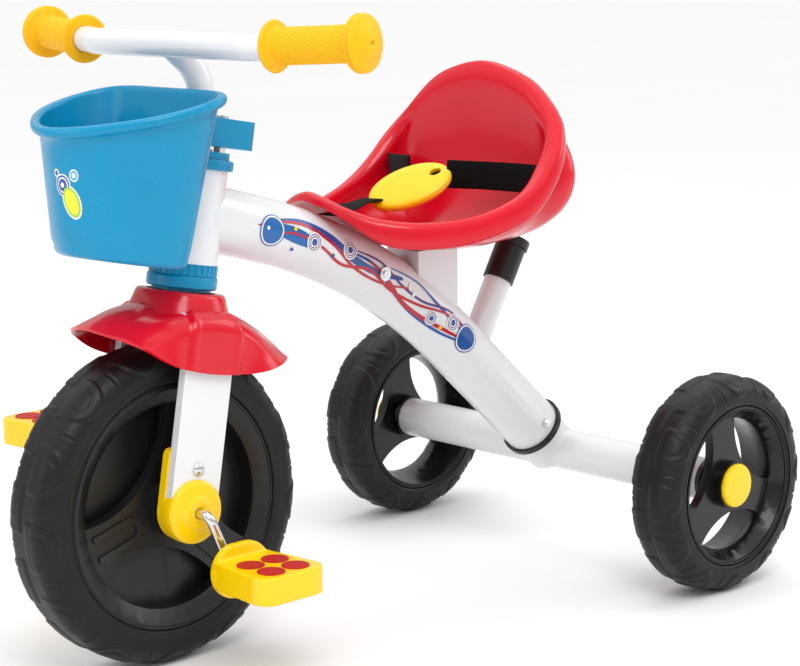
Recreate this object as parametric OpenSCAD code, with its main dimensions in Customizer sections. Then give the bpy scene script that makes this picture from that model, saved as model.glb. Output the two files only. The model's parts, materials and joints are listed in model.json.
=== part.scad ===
// Child's tricycle with a raked front fork, bucket seat, front basket and direct-drive pedals.
// Millimetres, +X forward, +Y to the rider's left, +Z up, standing on Z = 0.

/* [Wheels] */
// Front wheel radius
front_r = 130; // [118:1:150]
// Front tyre width
front_w = 54; // [44:1:58]
// Outer radius of the front rim
front_rim_r = 100; // [92:1:108]
// Rear wheel radius
rear_r = 96.5; // [88:0.5:116]
// Rear tyre width
rear_w = 51; // [42:1:61]
// Outer radius of the rear rim
rear_rim_r = 71; // [66:1:76]
// Distance between the axles
wheelbase = 468; // [450:1:500]
// Distance between the rear wheel centres
track = 397; // [370:1:440]
// Rear axle rod diameter
rod_d = 10; // [8:1:14]
// Hub cap diameter
hub_cap_d = 39; // [34:1:42]

/* [Frame] */
// Diameter of the curved main beam
beam_d = 54; // [46:1:58]
// Slope of the beam where it leaves the head tube
beam_slope_front = 15.5; // [12:0.5:18]
// Bend radius of the beam
beam_bend_r = 560; // [480:10:600]
// Wall of the steel tubes
wall = 2; // [1.5:0.1:3]
// Outside diameter of the head tube
head_d = 54; // [50:1:56]
// Length of the head tube
head_len = 75.5; // [70:0.5:82]
// Diameter of the rear axle tube
axle_tube_d = 38; // [32:1:42]
// Diameter of the push bar socket tube
socket_d = 25; // [22:1:28]
// Length of the push bar socket tube above the beam line
socket_len = 118; // [100:1:125]
// Bore of the push bar socket
socket_bore = 20; // [16:0.5:22]

/* [Steering] */
// Backward lean of the steering axis
rake = 10; // [6:1:12]
// Steerer tube diameter
steerer_d = 25.4; // [22:0.2:30]
// Stem and handlebar tube diameter
bar_d = 21.5; // [19:0.5:22]
// Half length of the handlebar measured across
bar_half = 203; // [180:1:240]
// Backward sweep of the grips
bar_sweep = 12.5; // [8:0.5:16]
// Grip length
grip_len = 91; // [80:1:100]
// Width of a fork blade
blade_w = 47; // [40:1:50]
// Thickness of a fork blade
blade_t = 8; // [6:0.5:8]
// Distance between the outer faces of the fork blades
fork_w = 94; // [92:1:100]
// Gap between the front tyre and the fork crown
crown_gap = 18; // [12:1:20]

/* [Pedals] */
// Diameter of the crank rod
crank_d = 8.3; // [7:0.1:10]
// Crank length
crank_len = 48.5; // [42:0.5:56]
// Angle of the left crank behind straight down
crank_angle = 24; // [0:1:60]
// Pedal length along the spindle
pedal_len = 73; // [62:1:80]
// Pedal width
pedal_w = 66; // [56:1:72]
// Pedal thickness
pedal_t = 22; // [18:0.5:26]

/* [Seat] */
// Half width of the seat at the wings
seat_half = 98; // [84:1:108]
// Height of the seat back above the pan
seat_back_h = 154; // [130:1:180]
// Thickness of the seat shell
seat_t = 3.5; // [2.5:0.5:5]
// Harness webbing width
web_w = 25; // [20:1:28]

/* [Basket] */
// Basket depth from the stem side to the front of the rim
basket_l = 107; // [100:1:130]
// Greatest width of the basket at the rim
basket_w = 160; // [130:1:180]
// Thickness of the basket wall
basket_t = 2.5; // [2:0.5:4]

/* [Hidden] */
$fn = 64;

// Fits: radial running gap, gap between loose faces, and the overrun of cutting tools
run = 0.06;
gap = 0.3;
cut = 1;
seam = 0.02;

// Axle places; the part stands centred on its own length
rear_x = -(wheelbase + front_r - rear_r) / 2;
front_x = rear_x + wheelbase;

// Steering axis: distances are measured up the axis from the front axle
blade_out = fork_w / 2;
blade_in = blade_out - blade_t;
crown_z = front_r + crown_gap;
crown_top = crown_z + blade_t;
neck_top = crown_top + 15;
bush_low = neck_top + gap;
head_z = bush_low + 22.2;
head_top = head_z + head_len;
bush_top = head_top + 14.5;
clamp_z = bush_top + 4.5;
clamp_h = 23;

// Beam line: a front straight, one bend and a rear straight through the rear axle
head_mid = (head_z + head_top) / 2 + 1.5;
beam_x = front_x - head_mid * sin(rake);
beam_z = front_r + head_mid * cos(rake);
corner_x = rear_x + wheelbase / 2;
corner_z = beam_z - (beam_x - corner_x) * tan(beam_slope_front);
beam_slope_rear = atan((corner_z - rear_r) / (corner_x - rear_x));
bend = beam_slope_rear - beam_slope_front;
tangent_len = beam_bend_r * tan(bend / 2);
front_len = (beam_x - corner_x) / cos(beam_slope_front) - tangent_len;
rear_len = norm([corner_x - rear_x, corner_z - rear_r]) - tangent_len;
beam_end = axle_tube_d / 2 + 19;
collar_t = 5;
socket_run = 150;
socket_lean = 30;
socket_x = rear_x + socket_run * cos(beam_slope_rear);
socket_z = rear_r + socket_run * sin(beam_slope_rear);
sleeve_len = 42;
sleeve_t = 1.8;

// Seat placing
seat_x = -75;
pan_z = 306;
nose_run = 132;
bracket_x0 = -106;
bracket_x1 = -58;
bracket_w = 40;
pad_t = 3;

// Rear hubs: distances outward along the axle
wheel_y = track / 2;
hub_in = wheel_y - gap;
hub_out = wheel_y + rear_w / 2 - 5;
bush_t = 7.5;
tube_y = hub_in - gap - bush_t;

function arc(cx, cy, r, a0, a1, n = 8) =
  [for (i = [0:n]) let (a = a0 + (a1 - a0) * i / n) [cx + r * cos(a), cy + r * sin(a)]];
function flip(p) = [for (q = p) [q[0], -q[1]]];
function unit(v) = v / norm(v);
function mix(a, b, t) = a + (b - a) * t;

// Point of a smooth closed curve through the points p, at the place u from 0 to 1
function spline(p, u) = let (n = len(p), s = u * n, i = floor(s) % n, t = s - floor(s),
  a = p[(i + n - 1) % n], b = p[i], c = p[(i + 1) % n], d = p[(i + 2) % n])
  0.5 * ((2 * b) + (c - a) * t + (2 * a - 5 * b + 4 * c - d) * t * t
  + (3 * b - a - 3 * c + d) * t * t * t);

function mean(v, i = 0, s = 0) = i == len(v) ? s / len(v) : mean(v, i + 1, s + v[i]);
function centre(r) = [for (c = [0:2]) mean([for (q = r) q[c]])];

// Closed solid skinned over rings of equal length, closed with a fan at each end
module skin(rings) {
  n = len(rings[0]);
  m = len(rings);
  polyhedron(
    concat([for (r = rings) for (q = r) q], [centre(rings[0]), centre(rings[m - 1])]),
    concat(
      [for (j = [0:m - 2]) for (i = [0:n - 1]) let (k = (i + 1) % n)
        [j * n + i, (j + 1) * n + k, j * n + k]],
      [for (j = [0:m - 2]) for (i = [0:n - 1]) let (k = (i + 1) % n)
        [j * n + i, (j + 1) * n + i, (j + 1) * n + k]],
      [for (i = [0:n - 1]) [m * n, i, (i + 1) % n]],
      [for (i = [0:n - 1]) [m * n + 1, (m - 1) * n + (i + 1) % n, (m - 1) * n + i]]));
}

// Frames of reference
module at_axis() translate([front_x, 0, front_r]) rotate([0, -rake, 0]) children();
module at_front() translate([front_x, 0, front_r]) children();
module at_rear(side) translate([rear_x, 0, rear_r]) mirror([0, side < 0 ? 1 : 0, 0])
  rotate([-90, 0, 0]) children();
module sided(side) mirror([0, side < 0 ? 1 : 0, 0]) children();
// Along +Y from a start distance
module along_y(y) translate([0, y, 0]) rotate([-90, 0, 0]) children();
// Up the beam from the rear axle
module at_beam(d) translate([rear_x, 0, rear_r]) rotate([0, 90 - beam_slope_rear, 0])
  translate([0, 0, d]) children();

module ring(r, h, r_in) difference() {
  cylinder(r = r, h = h);
  translate([0, 0, -cut]) cylinder(r = r_in, h = h + 2 * cut);
}

// The three lengths of the beam line: r is the outer radius and r_in the bore
module beam_rear(r, r_in, d0) at_beam(d0) ring(r, rear_len - d0 - seam, r_in);
module beam_bend(r, r_in) translate([corner_x, 0, corner_z])
  rotate([0, 90 - beam_slope_rear, 0]) translate([beam_bend_r, 0, -tangent_len])
  rotate([90, 0, 0]) mirror([1, 0, 0]) rotate_extrude(angle = bend, $fn = 360)
  translate([beam_bend_r, 0]) difference() {
    circle(r);
    if (r_in > 0) circle(r_in);
  }
module at_bend(f) translate([corner_x, 0, corner_z]) rotate([0, 90 - beam_slope_rear, 0])
  translate([beam_bend_r, 0, -tangent_len]) rotate([0, f * bend, 0])
  translate([-beam_bend_r, 0, 0]) children();
module beam_front(r, r_in) translate([beam_x, 0, beam_z])
  rotate([0, -90 - beam_slope_front, 0]) ring(r, front_len - seam, r_in);

// ---- Frame ----

module head_tube() color("white") at_axis() translate([0, 0, head_z])
  ring(head_d / 2, head_len, head_d / 2 - wall);

module main_beam() color("white") {
  beam_rear(beam_d / 2, beam_d / 2 - wall, beam_end);
  beam_bend(beam_d / 2, beam_d / 2 - wall);
  difference() {
    beam_front(beam_d / 2, beam_d / 2 - wall);
    at_axis() translate([0, 0, head_z - beam_d])
      cylinder(r = head_d / 2 + run, h = head_len + 2 * beam_d);
  }
}

module beam_neck() color("white") difference() {
  at_beam(0) cylinder(r = beam_d / 2 - wall - gap / 3, h = beam_end + 26);
  at_beam(axle_tube_d / 2) cylinder(r = beam_d / 2 - 3 * wall, h = beam_end + 26);
  translate([rear_x, 0, rear_r]) rotate([90, 0, 0])
    cylinder(r = axle_tube_d / 2, h = track, center = true);
}

module beam_collar() color("black") at_beam(beam_end - collar_t)
  ring(beam_d / 2 + 3, collar_t, beam_d / 2 - wall);

module axle_tube() color("white") translate([rear_x, 0, rear_r]) rotate([90, 0, 0])
  difference() {
    cylinder(r = axle_tube_d / 2, h = 2 * tube_y, center = true);
    cylinder(r = axle_tube_d / 2 - wall, h = 2 * tube_y + 2 * cut, center = true);
  }

module axle_rod() color("silver") translate([rear_x, 0, rear_r]) rotate([90, 0, 0])
  cylinder(r = rod_d / 2, h = 2 * (hub_out - 1), center = true);

// Black plug that closes the axle tube and carries the rod
module axle_bush(side) color("black") at_rear(side) difference() {
  union() {
    translate([0, 0, tube_y - 14]) cylinder(r = axle_tube_d / 2 - wall - gap / 3, h = 14);
    translate([0, 0, tube_y]) cylinder(r = axle_tube_d / 2 + 1.5, h = bush_t * 0.6);
    translate([0, 0, tube_y]) cylinder(r = axle_tube_d / 2 - 5, h = bush_t);
  }
  translate([0, 0, tube_y - 14 - cut]) cylinder(r = rod_d / 2 + run, h = 14 + bush_t + 2 * cut);
}

module axle_nut(side) color("silver") at_rear(side) translate([0, 0, hub_out - 7.5]) difference() {
  cylinder(r = rod_d * 0.85, h = 6, $fn = 6);
  translate([0, 0, -cut]) cylinder(r = rod_d / 2, h = 6 + 2 * cut);
}

// Folded bracket standing on the beam under the seat pan
module seat_bracket() color("white") difference() {
  translate([bracket_x0, -bracket_w / 2, pan_z - 62])
    cube([bracket_x1 - bracket_x0, bracket_w, 62 - gap]);
  translate([bracket_x0 - cut, -bracket_w / 2 + wall, pan_z - 62 - cut])
    cube([bracket_x1 - bracket_x0 - wall + cut, bracket_w - 2 * wall, 62 - gap - wall + cut]);
  beam_bend(beam_d / 2 + 0.05, 0);
  for (x = seat_bolt_x) translate([x, 0, pan_z - 62]) cylinder(r = 3.1, h = 70);
}
seat_bolt_x = [bracket_x0 + 12, bracket_x1 - 12];

module seat_bolts() color("silver") for (x = seat_bolt_x) {
  translate([x, 0, pan_z - gap - wall]) cylinder(r = 3, h = wall);
  translate([x, 0, pan_z - gap - wall - 4]) cylinder(r = 5.8, h = 4, $fn = 6);
}

// Rim line of the seat, from the nose round the left wing to the back and home again
seat_half_rim = [[127, 0, 55], [124.5, 17, 51], [115, 38, 42], [97, 61, 33], [65, 84, 29],
  [20, 101, 33], [-24, 108, 49], [-53, 104, 76], [-68, 98, 99], [-75, 86, 118],
  [-78, 62, 138], [-79, 33, 149], [-80, 0, 154]];
seat_rim = concat(seat_half_rim, [for (i = [11:-1:1]) flip_y(seat_half_rim[i])]);
function flip_y(q) = [q[0], -q[1], q[2]];
function seat_scale(q) = [q[0], q[1] * seat_half / 105, q[2] * seat_back_h / 154];
seat_n = 60;
seat_m = 9;
function rim_pt(i) = seat_scale(spline(seat_rim, i / seat_n));
function rim_out(i) = let (d = rim_pt(i + 1) - rim_pt(i + seat_n - 1)) unit([d[1], -d[0], 0]);
// Back bulge: 0 at the nose, 1 round the wings and the back
function seat_w(i) = let (c = cos(i * 360 / seat_n)) 1 - pow(max(0, c), 1.5);
function seat_a(i) = mix(100, 128, pow(max(0, -cos(i * 360 / seat_n)), 0.7));
function seat_pt(i, t) = let (q = rim_pt(i), w = seat_w(i), a = seat_a(i),
  h = mix(t, sin(a * t) / sin(a), w),
  v = mix(pow(t, 1.3), pow((1 - cos(a * t)) / (1 - cos(a)), 1.25), w))
  [q[0] * h, q[1] * h, q[2] * v];
function seat_nrm(i, t) = unit(cross(seat_pt(i, min(1, t + 0.05)) - seat_pt(i, t - 0.05),
  seat_pt(i + 1, t) - seat_pt(i + seat_n - 1, t)));
function seat_row(t, e) = [for (i = [0:seat_n - 1]) seat_pt(i, t) + e * seat_nrm(i, t)];
// The lip hangs less at the nose, where it passes over the beam
function lip_drop(i, u) = u < 0 ? u * (1 - 0.9 * pow(max(0, cos(i * 360 / seat_n)), 4)) : u;
function lip_row(o, u) = [for (i = [0:seat_n - 1])
  rim_pt(i) + o * rim_out(i) + [0, 0, lip_drop(i, u)]];

module seat() color("crimson") translate([seat_x, 0, pan_z]) skin(concat(
  [for (j = [1:seat_m]) seat_row(j / seat_m, 0)],
  [lip_row(5, -5), lip_row(9, -4), lip_row(10, 0), lip_row(7, 4), lip_row(2, 5.5)],
  [for (j = [seat_m:-1:1]) seat_row(j / seat_m, seat_t)]));

// ---- Harness: flat webbing between the seat slots and the buckle ----

web_t = 1.8;
buckle_at = [seat_x + 7, 0, pan_z + 54];
buckle_l = unit([-0.65, 0.686, 0.325]);
buckle_n = unit(cross(buckle_l, unit(cross([0.66, 0.3, 0.69], buckle_l))));
buckle_b = cross(buckle_n, buckle_l);
slot_at = [seat_x - 62, seat_half * 1.005, pan_z + 61];
nose_slot = [seat_x + 96, -6, pan_z + 37];
function strap_side(s, k) = let (a = buckle_at + (s > 0 ? [-22.3, 23.3, 11.1] : [-10, -11.5, 14]),
  b = [slot_at[0], s * slot_at[1], slot_at[2]]) [a, mix(a, b, k)];
function strap_nose(k) = let (a = buckle_at + [22.3, -23.3, -11]) [a, mix(a, nose_slot, k)];

// A flat strip between two points, w tall and t wide
module web(ab, w, t) {
  d = unit(ab[1] - ab[0]);
  side = unit(cross(d, [0, 0, 1]));
  up = cross(side, d);
  e = [for (q = [[-1, -1], [1, -1], [1, 1], [-1, 1]]) up * q[0] * w / 2 + side * q[1] * t / 2];
  skin([[for (v = e) ab[0] + v], [for (v = e) ab[1] + v]]);
}

module strap_left() color("black") web(strap_side(1, 1), web_w, web_t);
module strap_right() color("black") web(strap_side(-1, 1), web_w, web_t);
module strap_crotch() color("black") web(strap_nose(1), web_t, web_w);

buckle_len = 76;
buckle_w = 44;
buckle_t = 9;
module at_buckle() translate(buckle_at) multmatrix([for (i = [0:2])
  [buckle_l[i], buckle_b[i], buckle_n[i], 0]]) children();
module buckle() color("gold") difference() {
  at_buckle() hull() for (z = [0, buckle_t])
    translate([0, 0, z - buckle_t / 2]) linear_extrude(0.1) polygon(
      [for (i = [0:35]) [(buckle_len / 2 - (z > 0 ? 2.5 : 0)) * cos(i * 10),
        (buckle_w / 2 - (z > 0 ? 2.5 : 0)) * sin(i * 10)]]);
  for (s = [-1, 1]) web(strap_side(s, 1), web_w + 0.6, web_t + 0.6);
  web(strap_nose(1), web_t + 0.6, web_w + 0.6);
}

// ---- Push bar socket ----

module at_socket() translate([socket_x, 0, socket_z]) rotate([0, -socket_lean, 0]) children();
module push_socket() color("white") difference() {
  at_socket() cylinder(r = socket_d / 2, h = socket_len);
  at_socket() translate([0, 0, beam_d * 0.7]) cylinder(r = socket_bore / 2, h = socket_len);
  at_beam(0) cylinder(r = beam_d / 2 + 0.05, h = rear_len - cut);
}
module push_sleeve() color("black") at_socket() difference() {
  union() {
    translate([0, 0, socket_len - sleeve_len + 3])
      cylinder(r = socket_d / 2 + sleeve_t, h = sleeve_len);
    translate([0, 0, socket_len - 5]) cylinder(r = socket_d / 2 + sleeve_t + 1.5, h = 8);
  }
  translate([0, 0, socket_len - sleeve_len]) cylinder(r = socket_d / 2 + gap / 6, h = sleeve_len);
  translate([0, 0, socket_len - cut]) cylinder(r = socket_bore / 2, h = 10);
}

// ---- Headset ----

plug_len = 12;
plug_r = head_d / 2 - wall - gap / 3;
ridge_n = 30;
module head_bush_lower() color("dodgerblue") at_axis() difference() {
  union() {
    translate([0, 0, bush_low]) cylinder(r = head_d / 2 - 3, h = 3);
    translate([0, 0, bush_low + 2]) rotate_extrude() polygon(concat([[0, 0]],
      arc(head_d / 2 - 1, 2.5, 2.5, -90, 0, 4), arc(head_d / 2 - 1, 8.5, 2.5, 0, 90, 4), [[0, 11]]));
    translate([0, 0, bush_low + 13]) cylinder(r = head_d / 2 + 0.5, h = 9.2);
    translate([0, 0, head_z]) cylinder(r = plug_r, h = plug_len);
  }
  for (i = [0:ridge_n - 1]) rotate([0, 0, i * 360 / ridge_n])
    translate([head_d / 2 + 0.9, 0, bush_low + 13.5]) cylinder(r = 1.4, h = 8.2, $fn = 16);
  translate([0, 0, bush_low - cut]) cylinder(r = steerer_d / 2 + run, h = head_len);
}
module head_bush_upper() color("dodgerblue") at_axis() difference() {
  union() {
    translate([0, 0, head_top - plug_len]) cylinder(r = plug_r, h = plug_len);
    translate([0, 0, head_top]) rotate_extrude() polygon(concat([[0, 0]],
      arc(head_d / 2 + 2, 2, 2, -90, 0, 4), arc(head_d / 2 + 2, 6.5, 2, 0, 90, 4), [[0, 8.5]]));
    translate([0, 0, head_top + 8]) cylinder(r = head_d / 2, h = bush_top - head_top - 8);
  }
  translate([0, 0, head_top - plug_len - cut]) cylinder(r = steerer_d / 2 + run, h = head_len);
}
module side_screw(r) rotate([-90, 0, 0]) {
  translate([0, 0, beam_d / 2 + 0.4]) cylinder(r = r, h = 2.6);
  translate([0, 0, beam_d / 2 + 3]) cylinder(r = r * 0.6, h = 1.5, $fn = 6);
}
module beam_screws() color("silver") {
  at_bend(0.5) side_screw(6);
  at_beam(beam_end + 12) side_screw(4);
}

// ---- Steering ----

stem_r = 40;
stem_lean = 60;
bar_x = 37.6;
bar_z = clamp_z + 75;
bar_rise = 21.9;
bar_mid = 90;
bar_bend_r = 60;
bar_end = (bar_half - bar_mid - bar_bend_r * sin(bar_sweep)) / cos(bar_sweep);
stem_out = (bar_x - stem_r * (1 - cos(stem_lean))) / sin(stem_lean);
stem_top = bar_z - stem_r * sin(stem_lean) - stem_out * cos(stem_lean);

module steerer_tube() color("white") at_axis() translate([0, 0, crown_top])
  ring(steerer_d / 2, bush_top + 2 - crown_top, bar_d / 2 + run);

module stem() color("white") {
  at_axis() {
    translate([0, 0, head_z]) cylinder(r = bar_d / 2, h = stem_top - head_z - seam);
    translate([stem_r, 0, stem_top]) rotate([90, 0, 0]) mirror([1, 0, 0])
      rotate_extrude(angle = stem_lean) translate([stem_r, 0]) circle(bar_d / 2);
  }
  difference() {
    at_axis() translate([stem_r * (1 - cos(stem_lean)), 0, stem_top + stem_r * sin(stem_lean)])
      rotate([0, stem_lean, 0]) translate([0, 0, seam]) cylinder(r = bar_d / 2, h = stem_out);
    at_bar() along_y(-bar_mid) cylinder(r = bar_d / 2 + run, h = 2 * bar_mid);
  }
}
module at_bar() at_axis() translate([bar_x, 0, bar_z]) rotate([0, bar_rise, 0]) children();
module at_bar_end(side) at_bar() sided(side) translate([-bar_bend_r, bar_mid, 0])
  rotate([0, 0, bar_sweep]) translate([bar_bend_r, 0, 0]) rotate([-90, 0, 0]) children();

module handlebar() color("white") {
  at_bar() along_y(-bar_mid) cylinder(r = bar_d / 2, h = 2 * bar_mid);
  for (side = [-1, 1]) {
    at_bar() sided(side) translate([-bar_bend_r, bar_mid, 0])
      rotate_extrude(angle = bar_sweep) translate([bar_bend_r, 0]) circle(bar_d / 2);
    at_bar_end(side) cylinder(r = bar_d / 2, h = bar_end - 3);
  }
}
grip_r = bar_d / 2 + 2.6;
module grip(side) color("gold") at_bar_end(side) translate([0, 0, bar_end + 5 - grip_len])
  difference() {
    rotate_extrude() polygon(concat([[0, 0]],
      arc(grip_r + 4, 1.7, 1.7, -90, 90, 6), [[grip_r, 5]], [[grip_r, grip_len - 13]],
      [[grip_r + 7, grip_len - 11]], arc(grip_r + 6, grip_len - 8.5, 2, 0, 60, 4),
      [[grip_r - 1, grip_len - 1.5]], [[4, grip_len]], [[0, grip_len]]));
    translate([0, 0, -cut]) cylinder(r = bar_d / 2 + run, h = grip_len - 7 + cut);
    translate([0, 0, grip_len - 10]) cylinder(r = 2.5, h = 12);
  }

bend_in = 6;
corner_y = blade_in - bend_in;
corner_top = crown_z - bend_in;
module fork_crown() color("white") at_axis() rotate([90, 0, 90])
  translate([0, 0, -blade_w / 2]) linear_extrude(blade_w) polygon(concat(
    arc(corner_y, corner_top, bend_in + blade_t, 0, 90, 10),
    arc(-corner_y, corner_top, bend_in + blade_t, 90, 180, 10),
    arc(-corner_y, corner_top, bend_in, 180, 90, 8),
    arc(corner_y, corner_top, bend_in, 90, 0, 8)));

hub_hole = 10;
screw_z = 34;
screw_r = 2.5;
module fork_blade(side) color("white") at_axis() sided(side) translate([0, blade_in, 0])
  rotate([90, 0, 0]) mirror([0, 0, 1]) difference() {
    linear_extrude(blade_t) polygon(concat([[blade_w / 2, corner_top], [-blade_w / 2, corner_top]],
      arc(0, 0, blade_w / 2, 180, 360, 24)));
    translate([0, 0, -cut]) cylinder(r = hub_hole, h = blade_t + 2 * cut);
    translate([0, screw_z, -cut]) cylinder(r = screw_r + 0.1, h = blade_t + 2 * cut);
  }

cap_t = 8.5;
cap_r = 23.3;
bump_r = 14;
bump_z = 12;
module cap(side) color("gold") at_axis() sided(side) difference() {
  union() {
    along_y(blade_out) rotate_extrude() polygon(concat([[0, 0], [cap_r, 0]],
      arc(cap_r - 3, cap_t - 3, 3, 0, 90, 5), [[0, cap_t]]));
    translate([0, 0, bump_z]) along_y(blade_out) rotate_extrude()
      polygon(concat([[0, 0], [bump_r, 0]],
        arc(bump_r - 3, cap_t - 4.5, 3, 0, 90, 5), [[0, cap_t - 1.5]]));
    along_y(blade_in) cylinder(r = hub_hole - 0.1, h = blade_t);
  }
  along_y(blade_in - cut) cylinder(r = crank_d / 2 + run, h = blade_t + cap_t + 2 * cut);
}
bearing_t = 7.5;
bearing_r = blade_w / 2 + 1.2;
module bearing(side) color("gold") at_axis() sided(side) translate([0, blade_in - bearing_t, 0])
  rotate([90, 0, 0]) mirror([0, 0, 1]) difference() {
    linear_extrude(bearing_t) polygon(concat(
      arc(bearing_r - 6, screw_z + 9, 6, 0, 90, 5), arc(6 - bearing_r, screw_z + 9, 6, 90, 180, 5),
      arc(0, 0, bearing_r, 180, 360, 24)));
    translate([0, 0, -cut]) cylinder(r = crank_d / 2 + run, h = bearing_t + 2 * cut);
    translate([0, screw_z, 1]) cylinder(r = screw_r + 0.1, h = bearing_t + cut);
  }
module fork_screw(side) color("silver") at_axis() sided(side) translate([0, 0, screw_z]) {
  along_y(blade_in - 5) cylinder(r = screw_r, h = blade_t + 5);
  along_y(blade_out) rotate_extrude() polygon(concat([[0, 0], [5.7, 0], [5.7, 1]],
    arc(0, -3.4, 6.6, 40, 90, 6)));
}

// ---- Mudguard ----

guard_t = 3;
guard_tube_r = 51.5;
guard_ring_r = crown_top + 7.5 - guard_tube_r;
guard_half = 106;
guard_shift = -7;
guard_wide = 58;
lens_r = (pow(guard_half, 2) + pow(guard_wide, 2)) / (2 * guard_wide);
strap_x = blade_w / 2 + 0.8;
strap_y = blade_out + 0.6;
strap_low = front_r - 18;
module guard_block(x, y, z, r) rotate([90, 0, 90]) translate([0, 0, -x])
  linear_extrude(2 * x) polygon(concat([[y, strap_low]], arc(y - r, z - r, r, 0, 90, 8),
    arc(r - y, z - r, r, 90, 180, 8), [[-y, strap_low]]));
module guard_ring(r) rotate([90, 0, 0]) rotate_extrude($fn = 128)
  translate([guard_ring_r, 0]) circle(r);
module mudguard() color("crimson") at_axis() difference() {
  union() {
    intersection() {
      guard_ring(guard_tube_r);
      lens();
    }
    guard_block(strap_x + guard_t, strap_y + guard_t, crown_top + 0.4 + guard_t, 17);
    translate([0, 0, crown_top - 4]) linear_extrude(neck_top - crown_top + 4) polygon(concat(
      arc(15, 19, 14, 0, 90, 6), arc(-15, 19, 14, 90, 180, 6),
      arc(-15, -19, 14, 180, 270, 6), arc(15, -19, 14, 270, 360, 6)));
  }
  guard_ring(guard_tube_r - guard_t);
  rotate([90, 0, 0]) cylinder(r = guard_ring_r, h = 3 * fork_w, center = true);
  translate([0, 0, -cut]) guard_block(strap_x, strap_y, crown_top + 0.4 + cut, 14.5);
  cylinder(r = steerer_d / 2 + 1, h = neck_top + cut);
}
module lens() translate([guard_shift, 0, front_r / 2]) intersection_for(s = [-1, 1])
  translate([0, s * (lens_r - guard_wide), 0]) cylinder(r = lens_r, h = front_r, $fn = 180);

// ---- Basket ----

basket_x = 32;
basket_low = 190;
basket_back = 329;
basket_slope = -0.405;
// Half plan of the rim from the stem side to the front
half_pts = [[0, 0], [0, 0.3], [0, 0.55], [0.03, 0.8], [0.12, 0.95], [0.29, 1.01], [0.46, 0.98],
  [0.64, 0.86], [0.8, 0.64], [0.94, 0.33], [1, 0]];
basket_plan = concat([for (q = half_pts) [q[0], -q[1]]],
  [for (i = [len(half_pts) - 2:-1:1]) half_pts[i]]);
basket_n = 60;
function plan_pt(i) = spline(basket_plan, i / basket_n);
function plan_out(i) = let (d = plan_pt(i + 1) - plan_pt(i + basket_n - 1)) unit([d[1], -d[0]]);
// Ring of the basket: s from 0 at the foot to 1 at the rim, e outward, u upward
function basket_ring(s, e, u) = [for (i = [0:basket_n - 1]) let (p = plan_pt(i), o = plan_out(i),
  fx = mix(0.75, 1, s), fy = mix(0.78, 1, s), x = p[0] * basket_l * fx + mix(2.4, 0, s),
  z1 = basket_back + basket_slope * p[0] * basket_l)
  [basket_x + x + e * o[0], p[1] * basket_w / 2 * fy + e * o[1], mix(basket_low, z1, s) + u]];
module basket() color("deepskyblue") at_axis() skin(concat(
  [basket_ring(0, -9, 0), basket_ring(0, -3.5, 0.9), basket_ring(0, -1, 3.2), basket_ring(0, 0, 7)],
  [for (s = [0.25, 0.5, 0.75]) basket_ring(s, 0, 0)],
  [basket_ring(1, 0, -8), basket_ring(1, 3.4, -7.5), basket_ring(1, 5, -6), basket_ring(1, 5.6, -2.5),
   basket_ring(1, 4.5, -0.4), basket_ring(1, 2.5, 0.6), basket_ring(1, 0, 0.4),
   basket_ring(1, -1.8, -0.8), basket_ring(1, -basket_t, -3)],
  [for (s = [0.75, 0.5, 0.25]) basket_ring(s, -basket_t, 0)],
  [basket_ring(0, -basket_t, 8), basket_ring(0, -5.5, 4.5), basket_ring(0, -11, basket_t)]));

clamp_back = 47;
clamp_half = 19;
clamp_bolt_x = -23;
module basket_clamp() color("deepskyblue") at_axis() difference() {
  union() {
    translate([0, 0, clamp_z]) linear_extrude(clamp_h) polygon(concat(
      [[basket_x, clamp_half], [basket_x, -clamp_half]],
      [for (q = arc(-clamp_back + 10, clamp_half - 10, 10, 90, 180, 6)) [q[0], -q[1]]],
      arc(-clamp_back + 10, clamp_half - 10, 10, 180, 90, 6)));
    translate([basket_x - 16, -6, clamp_z + clamp_h]) cube([10, 12, 3]);
  }
  translate([0, 0, clamp_z - cut]) cylinder(r = bar_d / 2 + gap / 2, h = clamp_h + 6);
  translate([clamp_bolt_x, 0, clamp_z - cut]) cylinder(r = 2.7, h = clamp_h + 2 * cut);
}
module clamp_bolt() color("silver") at_axis() translate([clamp_bolt_x, 0, 0]) {
  translate([0, 0, clamp_z - 4]) cylinder(r = 5.4, h = 4, $fn = 6);
  translate([0, 0, clamp_z]) cylinder(r = 2.5, h = clamp_h);
  translate([0, 0, clamp_z + clamp_h]) cylinder(r = 5, h = 2.5);
}

// ---- Front wheel ----

function tyre_pts(r, w, ri) = concat([[ri, -w / 2 + 3], [ri + 4, -w / 2 + 0.5]],
  [[r - 22, -w / 2]], arc(r - 17, -w / 2 + 17, 17, -90, -8, 7),
  arc(r - 17, w / 2 - 17, 17, 8, 90, 7), [[r - 22, w / 2]], [[ri + 4, w / 2 - 0.5], [ri, w / 2 - 3]]);
module front_tyre() color("black") at_front() rotate([90, 0, 0])
  rotate_extrude($fn = 128) polygon(tyre_pts(front_r, front_w, front_rim_r));

front_open = front_rim_r - 16;
front_hub_r = 24;
web_half = 1.5;
plate_z0 = 8;
plate_z1 = 18;
spoke_angle = 17;
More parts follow.
